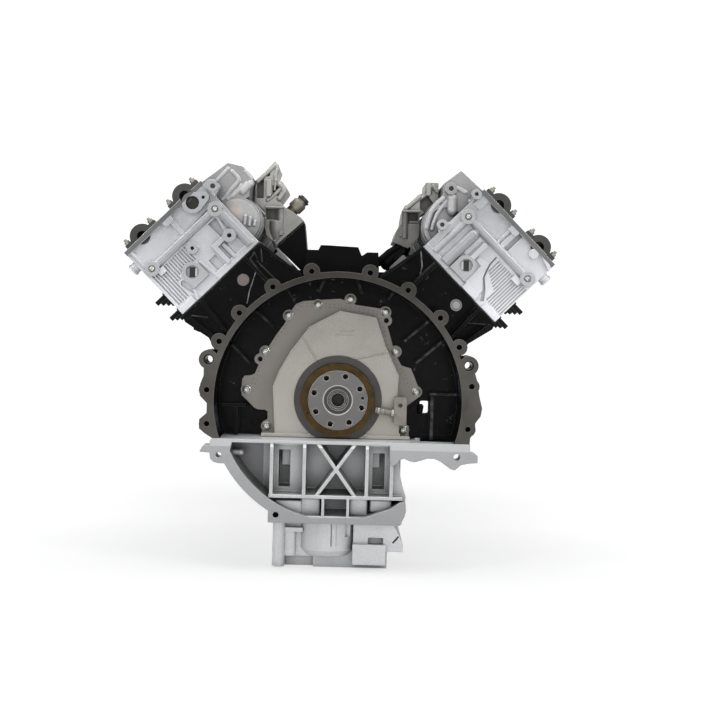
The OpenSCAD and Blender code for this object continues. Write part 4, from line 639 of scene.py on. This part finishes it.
def lathe(mesh, profile, place, steps=24):
    """Turns a line of radius and height pairs round the z axis and puts it in place."""
    line = [mesh.verts.new((r, 0.0, h)) for r, h in profile]
    edges = [mesh.edges.new(pair) for pair in zip(line, line[1:])]
    bmesh.ops.spin(mesh, geom=line + edges, cent=(0, 0, 0), axis=(0, 0, 1),
                   dvec=(0, 0, 0), angle=math.tau, steps=steps, use_merge=True)
    bmesh.ops.remove_doubles(mesh, verts=[v for v in mesh.verts if not v.tag], dist=1e-6)
    settle(mesh, place)


facing_back = Matrix.Rotation(math.pi / 2, 4, "X")
cover_spot_face = 0.0278
cover_bolt_at = [(-35, 148), (16, 158), (72, 139), (90, 77), (124, 14), (105, -47),
                 (-111.7, -46), (-145, 11), (-117, 72), (-81, 130)]
bolt_profile = [(0.0, 0.0), (0.0070, 0.0), (0.0072, 0.0003), (0.0072, 0.0011),
                (0.0066, 0.0018), (0.0056, 0.0020), (0.0054, 0.0050), (0.0049, 0.0062),
                (0.0038, 0.0070), (0.0030, 0.0071), (0.0026, 0.0066), (0.0026, 0.0036),
                (0.0, 0.0030)]
cover_bolts = bmesh.new()
for px, pz in cover_bolt_at:
    lathe(cover_bolts, bolt_profile,
          Matrix.Translation((px / 1000, cover_spot_face, pz / 1000)) @ facing_back)
zinc = plain_metal("zinc_plate", (0.42, 0.43, 0.395), 0.24, 0.85)
piece("cover_flange_bolts", cover_bolts, zinc, replaces=("rear_cover_bolts",))
dress(zinc, "sump_bolts", "drain_plug", "front_cover_bolts", "head_end_bolts")

# Core plugs: cups pressed from steel sheet and driven into the block's casting holes. The left
# one is browner and darker than the right. Each has a dark ring inside its rim and a darker
# band round its edge.
plug_x, plug_z = 0.1846, 0.1534
plug = Finish("core_plug_steel")
where, x, y, z = plug.place()
radius = off_axis(abs(x) - plug_x, z - plug_z)
rust = plug.noise(where, 180.0, 4.0, 0.6)
cup = plug.mix(x > 0.0, plug.mix(rust, (0.20, 0.165, 0.155), (0.12, 0.10, 0.095)),
               plug.mix(rust, (0.42, 0.42, 0.41), (0.26, 0.26, 0.25)))
cup = plug.mix(radius.within(0.0060, 0.0078) * 0.75, cup, (0.05, 0.047, 0.045))
cup = plug.mix(radius.within(0.0088, 0.0110) * 0.7, cup, (0.10, 0.095, 0.09))
plug.set(base_color=cup, metallic=0.3, roughness=rust * 0.2 + 0.35)
dress(plug.holder, "core_plugs")

# Coolant ducts in the valley's corners, in grey painted steel, and the crank's lip seal,
# a ring of brown rubber pressed into the rear cover.
dress(plain_metal("pipe_grey", (0.24, 0.238, 0.232), 0.6, 0.1, gloss=0.2), "coolant_pipes")
dress(plain_metal("seal_brown", (0.030, 0.026, 0.023), 0.45, 0.1), "rear_seal")

# Crank speed sensor: a beige moulding that lies on the rear cover and dips a little to
# its tip, with turned steel collars crimped round its neck.
neck_x, neck_z, neck_fall, neck_turn = 59, -14.3, 0.1405, math.radians(98)
sensor_collars = bmesh.new()
for at, wide, radius in [(64, 3, 6.2), (71, 2, 5.8), (86, 4, 7.0)]:
    middle = Vector((at, 6.2, neck_z - neck_fall * (at - neck_x))) / 1000
    bmesh.ops.create_cone(sensor_collars, cap_ends=True, segments=32, radius1=radius / 1000,
                          radius2=radius / 1000, depth=wide / 1000,
                          matrix=Matrix.Translation(middle)
                          @ Matrix.Rotation(neck_turn, 4, "Y"))
bmesh.ops.bevel(sensor_collars, offset=0.0005, segments=2, affect="EDGES", profile=0.5,
                geom=[e for e in sensor_collars.edges if e.calc_face_angle(0) > 1.0],
                material=-1)
piece("sensor_collars", sensor_collars,
      plain_metal("sensor_steel", (0.34, 0.335, 0.32), 0.26, 0.8))
dress(plain_metal("sensor_beige", (0.21, 0.195, 0.167), 0.45, 0.3), "crank_speed_sensor")


# Sumps: pressure die castings in a pale silver alloy, the upper one closing the bell.
# The bell face and the joints are milled, and bosses stand in the lowest row of ribs.
def at_bell_face(finish, x, y, z):
    return y < bell_face


def left_panel(finish, x, y, z):
    """1 on the shaded web left of the sump's first upright."""
    web = (x > -0.188) * (x < -0.1165) * (z < -0.066) * (z > -0.157) * (y > -0.018)
    return [(web * 0.8, (0.125, 0.126, 0.13))]


def rail(finish, x, y, z):
    """1 on the edge of the joint with the block, which is painted lighter as a highlight."""
    return (z > -0.0725) * (y < 0.06)


dress(cast_alloy("sump_silver_alloy", (0.52, 0.525, 0.53), (0.40, 0.405, 0.41), 0.38, 0.4,
                 recess_shade=0.72, reach=0.030, edge_light=1.9, milled_faces=at_bell_face,
                 milled_tone=0.60, marks=left_panel, lift=rail, lift_by=1.5), "upper_sump")
bosses = bmesh.new()
for size, middle in [((31, 40, 29), (-38, 12, -165.5)), ((44, 40, 23), (-73, 10, -166.5)),
                     ((29, 40, 28), (35.6, 12, -164.3)), ((34, 40, 20), (71, 10, -161.5))]:
    pad(bosses, size, middle)
bmesh.ops.bevel(bosses, geom=bosses.edges[:], offset=0.003, segments=3, affect="EDGES",
                profile=0.5, material=-1)
bead(bosses, [(-166, 8, -85.4), (-150, 8, -85.8)], 5.5)
piece("sump_bosses", bosses, cast_alloy(
    "sump_boss_alloy", (0.60, 0.605, 0.61), (0.50, 0.505, 0.51), 0.36, 0.35, recess_shade=0.5,
    edge_light=1.3))
dress(cast_alloy("sump_pan_alloy", (0.68, 0.685, 0.695), (0.60, 0.605, 0.615), 0.45, 0.3,
                 recess_shade=0.6, edge_light=1.4), "lower_sump")

# Oil pickup and chain guides, moulded in black plastic, the oil pump's alloy body, and
# the front cover, a broad pressure die casting over the timing drive.
dress(plain_metal("oil_plastic", (0.03, 0.03, 0.032), 0.5, 0.0), "oil_pickup",
      "chain_guides")
dress(plain_metal("pump_alloy", (0.35, 0.35, 0.355), 0.4), "oil_pump")
dress(cast_alloy("front_cover_alloy", (0.55, 0.555, 0.565), (0.46, 0.465, 0.475)),
      "front_cover")

# Cylinder heads: sand cast light alloy, bead blasted bright, with milled boss faces, rim
# and deck. The right bank stands further forward than the left by twice the stagger.
slant = math.sqrt(0.5)
bank_stagger = 0.011
# Near black, painted shade deep in a head's small holes.
pitch_dark = (0.004, 0.004, 0.004)


def outboard(x, z):
    """How far out a point of either bank lies, square to its bores."""
    return (abs(x) - z) * slant


def up_the_bore(x, z):
    """How high a point of either bank lies along its bores."""
    return (abs(x) + z) * slant


def head_marks(side, bores, windows):
    """Marks of a head: its rim's side faces, painted shade inside its bores and rear windows,
    and painted highlights, bright crescents, in the windows."""
    def marks(finish, x, y, z):
        out = (x * side - z) * slant
        high = (x * side + z) * slant
        rear_wall = 0.023 + bank_stagger * side
        found = [(high.within(0.3905, 0.3978) * 0.85, (0.07, 0.0695, 0.067))]
        # Painted shade inside the bores.
        for w, h, radius, dark in bores:
            across, along = out - w / 1000, high - h / 1000
            inside = (across * across + along * along) < (radius / 1000) ** 2
            found.append((inside * (y > rear_wall - 0.0062), dark))
        # Painted shade inside the windows, with a painted highlight crescent in each.
        for px, pz, half_x, half_z in windows:
            level, behind = abs(z - pz / 1000), y > rear_wall - 0.002
            inside = (abs(x - px / 1000) < half_x / 1000) * (level < half_z / 1000)
            found.append((inside * behind, (0.02, 0.0195, 0.018)))
            crescent_x = px / 1000 - side * 0.0058
            crescent = (abs(x - crescent_x) < 0.0014) * (level < half_z / 1400)
            found.append((crescent * behind, (0.55, 0.55, 0.54)))
        return found
    return marks


def toward_exhaust(finish, x, y, z):
    """Grows from the valley side of a head to its lower outboard corner."""
    return finish.span(outboard(x, z) - (up_the_bore(x, z) - 0.33) * 0.7, -0.04, 0.10)


def boss_faces(side):
    """The milled faces that stand proud of a head's rear wall."""
    def faces(finish, x, y, z):
        return y < 0.0165 + bank_stagger * side
    return faces


def dress_head(name, side, tone, shade, lift_by, bores, windows):
    dress(cast_alloy(f"{name}_alloy", tone, shade, 0.38, 0.35, 0.0008, recess_shade=0.42,
                     reach=0.008, edge_light=2.1, lift=toward_exhaust, lift_by=lift_by,
                     deep=0.2, milled_faces=boss_faces(side),
                     marks=head_marks(side, bores, windows)), name)


dress_head("left_head", -1, (0.46, 0.465, 0.48), (0.33, 0.335, 0.345), 1.32,
           [(-48, 380.2, 10.5, (0.02, 0.018, 0.014)), (27, 302.2, 10.5, (0.30, 0.30, 0.305)),
            (-54.5, 303.7, 3.5, pitch_dark), (1.5, 329.2, 3.0, pitch_dark),
            (-89, 377.2, 4.0, (0.05, 0.05, 0.05)), (-66, 374.7, 2.7, pitch_dark)],
           [(-233.5, 194.6, 4.5, 8.0)])
dress_head("right_head", 1, (0.48, 0.485, 0.50), (0.35, 0.355, 0.365), 1.5,
           [(-13, 293.2, 10.5, (0.32, 0.32, 0.325)), (-83.5, 383.2, 3.3, (0.05, 0.05, 0.05)),
            (-86, 310.2, 3.6, (0.05, 0.05, 0.05))],
           [(199.0, 216.6, 4.5, 8.5)])
dress(plain_metal("gasket_steel", (0.12, 0.12, 0.125), 0.4), "head_gaskets")

# Camshafts, their caps and the valves: chilled iron shafts, dark cast caps and forged
# steel valves. The caps' bolts are zinc plated, with a daub of paint on each head.
dress(plain_metal("cam_steel", (0.06, 0.058, 0.055), 0.32), "left_intake_camshaft",
      "left_exhaust_camshaft", "right_intake_camshaft", "right_exhaust_camshaft")
dress(plain_metal("cap_grey", (0.045, 0.044, 0.042), 0.42, 0.4), "left_cam_caps",
      "right_cam_caps")
bolt_tip_height = 0.4265
tipped = Finish("zinc_bolt_paint_mark")
where, x, y, z = tipped.place()
daub = tipped.mix(x > 0.0, (0.16, 0.10, 0.06), (0.50, 0.42, 0.03))
dirt = tipped.noise(where, 240.0, 3.0)
soft = edge_highlight_and_bevel(tipped, 0.0004, 4)[1]
plating = tipped.mix(dirt, (0.20, 0.185, 0.155), (0.36, 0.34, 0.30))
daubed = (up_the_bore(x, z) > bolt_tip_height) * (dirt > 0.42)
tipped.set(base_color=tipped.mix(daubed, plating, daub), metallic=0.4,
           roughness=dirt * 0.2 + 0.3, normal=tipped.bump(dirt, 0.0003, 0.5, soft))
dress(tipped.holder, "cam_cap_bolts")
dress(plain_metal("valve_steel", (0.40, 0.39, 0.37), 0.3), "valves")


# Valve springs: round wire coiled six times, standing on the head under each retainer.
# Each is as tall as the CAD spring it stands for, which follows the valve's lift.
def bank_place(side):
    """The frame of a bank: outboard, forward, up the bore."""
    return Matrix(((side * slant, 0.0, side * slant, 0.0),
                   (0.0, 1.0, 0.0, side * bank_stagger),
                   (-slant, 0.0, slant, 0.0), (0.0, 0.0, 0.0, 1.0)))


def coil(mesh, radius, wire, turns, low, high, place):
    """A round wire wound about the z axis from one height to another."""
    steps = 12 * turns
    ring = bmesh.ops.create_circle(mesh, segments=6, radius=wire, cap_ends=True)["verts"]
    bmesh.ops.rotate(mesh, verts=ring, cent=(0, 0, 0),
                     matrix=Matrix.Rotation(math.pi / 2, 3, "X"))
    bmesh.ops.translate(mesh, verts=ring, vec=(radius, 0, low + wire))
    cap = ring[0].link_faces[0]
    bmesh.ops.spin(mesh, geom=[cap], cent=(0, 0, 0), axis=(0, 0, 1),
                   dvec=(0, 0, (high - low - 2 * wire) / steps), angle=math.tau * turns,
                   steps=steps, use_merge=False)
    settle(mesh, place)


first_bore, bore_pitch, valve_row, valve_offset = 0.111, 0.098, 0.020, 0.0175
coil_radius, wire_radius, coil_turns, spring_reach = 0.0087, 0.0016, 6, 0.0115
springs = bmesh.new()
for side in (-1, 1):
    place = bank_place(side)
    sleeves = [place.inverted() @ v.co for v in nodes["valve_springs"].data.vertices
               if v.co.x * side > 0.0]
    for w in (-valve_row, valve_row):
        for cylinder in range(4):
            for offset in (-valve_offset, valve_offset):
                y = first_bore + bore_pitch * cylinder + offset
                heights = [p.z for p in sleeves if math.hypot(p.x - w, p.y - y) < spring_reach]
                coil(springs, coil_radius, wire_radius, coil_turns, min(heights), max(heights),
                     place @ Matrix.Translation((w, y, 0.0)))
piece("coil_springs", springs, plain_metal("spring_steel", (0.10, 0.11, 0.12), 0.3),
      replaces=("valve_springs",))


# Castings in the valley: inlet plenums bolted along the heads, the valve housings on
# them, the black housing over the valley and the brass body of the temperature sensor.
def upper_housing(finish, x, y, z):
    """1 above the shelf of a valve housing, where its colour is lighter, 0 below."""
    return finish.span(z, 0.302, 0.312)


dress(cast_alloy("plenum_alloy", (0.33, 0.33, 0.33), (0.25, 0.25, 0.25), 0.42, 0.35,
                 recess_shade=0.75, edge_light=2.0), "left_inlet_plenum", "right_inlet_plenum")
left_housing = cast_alloy("left_housing_alloy", (0.33, 0.325, 0.31), (0.22, 0.215, 0.205),
                          0.42, 0.35, recess_shade=0.85, edge_light=1.9, lift=upper_housing,
                          lift_by=1.12)
right_housing = cast_alloy("right_housing_alloy", (0.17, 0.165, 0.155), (0.10, 0.097, 0.09),
                           0.42, 0.35, recess_shade=0.85, edge_light=2.2, lift=upper_housing,
                           lift_by=1.9)
valley_black = plain_metal("valley_black", (0.002, 0.002, 0.0022), 0.4, 0.0, 0.5, gloss=0.05)
dress(left_housing, "left_valve_housing")
dress(right_housing, "right_valve_housing")
dress(valley_black, "valley_housing")
dress(plain_metal("sensor_olive", (0.17, 0.15, 0.105), 0.4, 0.5), "coolant_sensor")


# Ribs cast on the rear faces of these four castings. They are round in section. Those on the
# plenums and the dome are coloured lighter than the walls they stand on, a painted highlight
# for their crests; those on the housings take the housings' own finish.
def cast_ribs(name, finish, deep, rows):
    """Ribs at one depth, from rows of a radius and points across and up."""
    piece(name, beads([(radius, [(px, deep, pz) for px, pz in points])
                       for radius, points in rows]), finish)


# Painted highlight: a lighter alloy colour for the ribs' crests.
rib_alloy = cast_alloy("rib_alloy", (0.50, 0.50, 0.505), (0.38, 0.38, 0.385), 0.36, 0.35,
                       recess_shade=0.6, edge_light=1.3)
cast_ribs("left_plenum_ribs", rib_alloy, 36.5, [
    (4.4, [(-193, 312), (-169.6, 339), (-166.6, 344), (-168.6, 349), (-178, 358)]),
    (3.6, [(-184.4, 313), (-166, 331), (-162.8, 336.5)]), (3.8, [(-175, 318), (-154.4, 340)]),
    (6.4, [(-160, 325.6), (-148, 339.3)]), (4.4, [(-201.8, 342.4), (-184, 362)]),
    (3.4, [(-146, 347), (-157, 358.4)])])
cast_ribs("left_dome_ribs", rib_alloy, 29.4, [
    (3.2, [(-153.8, 287), (-155.6, 273)]), (3.0, [(-146.0, 284), (-147.6, 272)]),
    (2.6, [(-138.6, 279), (-139.6, 272)])])
cast_ribs("left_housing_ribs", left_housing, 91.6, [
    (3.8, [(-142, 349), (-113, 377), (-111, 376.5), (-109, 371), (-112.6, 361), (-112, 352)]),
    (5.0, [(-105, 346), (-98, 338.5), (-97.6, 334), (-105, 322)]),
    (3.6, [(-124.6, 319), (-111, 330), (-101, 341)]), (2.6, [(-112.5, 349), (-113.5, 337)]),
    (3.0, [(-97, 268), (-111, 252)]), (2.6, [(-135, 289), (-127, 289)])])
cast_ribs("right_plenum_ribs", rib_alloy, 59.0, [
    (4.6, [(136.1, 277), (138.2, 288), (143.5, 304.3), (152.8, 317.2), (162.8, 326.2)]),
    (3.6, [(145.2, 275.6), (147.4, 286), (152.6, 300.2), (161.1, 313.2), (168.8, 322.3)]),
    (9.0, [(176.5, 327), (177.2, 306)]), (5.0, [(184, 343), (198, 336)]),
    (4.6, [(205, 322), (212, 316)]), (3.4, [(158.5, 275.6), (162.9, 267)])])
cast_ribs("right_housing_ribs", right_housing, 102.0, [
    (4.6, [(148.6, 350), (157, 341)]), (6.5, [(142, 348), (142, 341)]),
    (4.4, [(105, 311), (127, 331)]), (3.4, [(121, 324), (137, 335)]),
    (3.4, [(103.5, 305), (101.5, 285), (98, 266)]), (2.8, [(112, 289.7), (126, 290)])])

# Domed end cover of the left plenum, die cast, with a faint grid of cooling marks and a
# pinkish stain. It ends where the head begins.
dome = bmesh.new()
lathe(dome, [(0.0, 0.0052), (0.010, 0.0049), (0.019, 0.0040), (0.027, 0.0024),
             (0.033, 0.0004), (0.0362, -0.0016), (0.0362, -0.0020), (0.0, -0.0020)],
      Matrix.Translation((-0.168, 0.0338, 0.280)) @ facing_back, 48)
bmesh.ops.bisect_plane(dome, geom=dome.verts[:] + dome.edges[:] + dome.faces[:],
                       plane_co=Vector((1, 0, 1)) * 0.0575, plane_no=Vector((-1, 0, -1)),
                       clear_outer=True)
bmesh.ops.holes_fill(dome, edges=[e for e in dome.edges if e.is_boundary])
grid_pitch = 0.0026


def dome_marks(finish, x, y, z):
    """Fine grid lines and a stain."""
    across = finish.sum("SINE", x * (math.tau / grid_pitch)) > 0.75
    along = finish.sum("SINE", z * (math.tau / grid_pitch)) > 0.75
    cloud = finish.noise(finish.node("ShaderNodeCombineXYZ", sockets={0: x, 2: z}), 60.0, 3.0)
    dx, dz = x + 0.172, z - 0.296
    stain = finish.span(dx * dx + dz * dz, 0.0, 0.019 ** 2, 1.0, 0.0)
    return [(finish.sum("MAXIMUM", across, along) * 0.16, (0.30, 0.30, 0.30)),
            (stain * finish.span(cloud, 0.35, 0.6) * 0.6, (0.52, 0.42, 0.37))]


piece("left_plenum_dome", dome, cast_alloy(
    "dome_alloy", (0.41, 0.41, 0.41), (0.33, 0.33, 0.33), 0.40, 0.3, recess_shade=0.7,
    edge_light=1.2, marks=dome_marks))

# Coolant temperature sensor: a wide turned collar on the sensor's body, and the dark
# plastic plug that is pushed on its end. Both slope up towards the valley's middle.
seat = Matrix.Translation((-0.088, 0.130, 0.3035)) @ Matrix.Rotation(math.pi / 4, 4, "Y")
collar = bmesh.new()
lathe(collar, [(0.0, 0.008), (0.0122, 0.008), (0.0125, 0.009), (0.0125, 0.022),
               (0.0115, 0.024), (0.0098, 0.0245), (0.0098, 0.028), (0.0, 0.028)], seat, 32)
piece("coolant_sensor_collar", collar,
      plain_metal("collar_olive", (0.27, 0.255, 0.20), 0.42, 0.5))
cap = bmesh.new()
lathe(cap, [(0.0, 0.028), (0.0108, 0.028), (0.0112, 0.0285), (0.0112, 0.0315),
            (0.0088, 0.032), (0.0088, 0.0345), (0.0, 0.0345)], seat, 32)
piece("coolant_sensor_plug", cap,
      plain_metal("plug_dark", (0.035, 0.034, 0.028), 0.45, 0.0))

# Cable ducts, black plastic tubes clipped into the valley's right corner, and the funnel
# cast under the left valve housing, where its drain runs out.
piece("valley_cable_ducts", beads([
    (11.0, [(76, 112, 220), (93, 112, 236), (104, 112, 246)]),
    (7.0, [(62, 108, 222), (80, 108, 238), (98, 108, 250)]),
    (6.0, [(104, 106, 240), (92, 106, 228)])]), valley_black)
funnel = bmesh.new()
lathe(funnel, [(0.0, 0.0), (0.0035, 0.0), (0.0125, 0.026), (0.0135, 0.032),
               (0.0135, 0.044), (0.0, 0.044)], Matrix.Translation((-0.1085, 0.0965, 0.241)))
piece("left_housing_funnel", funnel, left_housing)

# Exhaust studs: black studs screwed into the heads' outboard faces, with rolled threads
# whose crests shine a little.
thread_pitch = 0.00125
thread = Finish("rolled_thread_black")
where, x, y, z = thread.place()
crest = thread.sum("SINE", outboard(x, z) * (math.tau / thread_pitch))
soft = edge_highlight_and_bevel(thread, 0.0004, 4)[1]
thread.set(base_color=thread.mix(thread.span(crest, -0.6, 1.0), (0.006, 0.006, 0.006),
                                 (0.03, 0.03, 0.03)),
           metallic=0.3, roughness=0.45, specular_ior_level=0.25,
           normal=thread.bump(crest, 0.0005, 0.8, soft))
dress(thread.holder, "exhaust_studs")
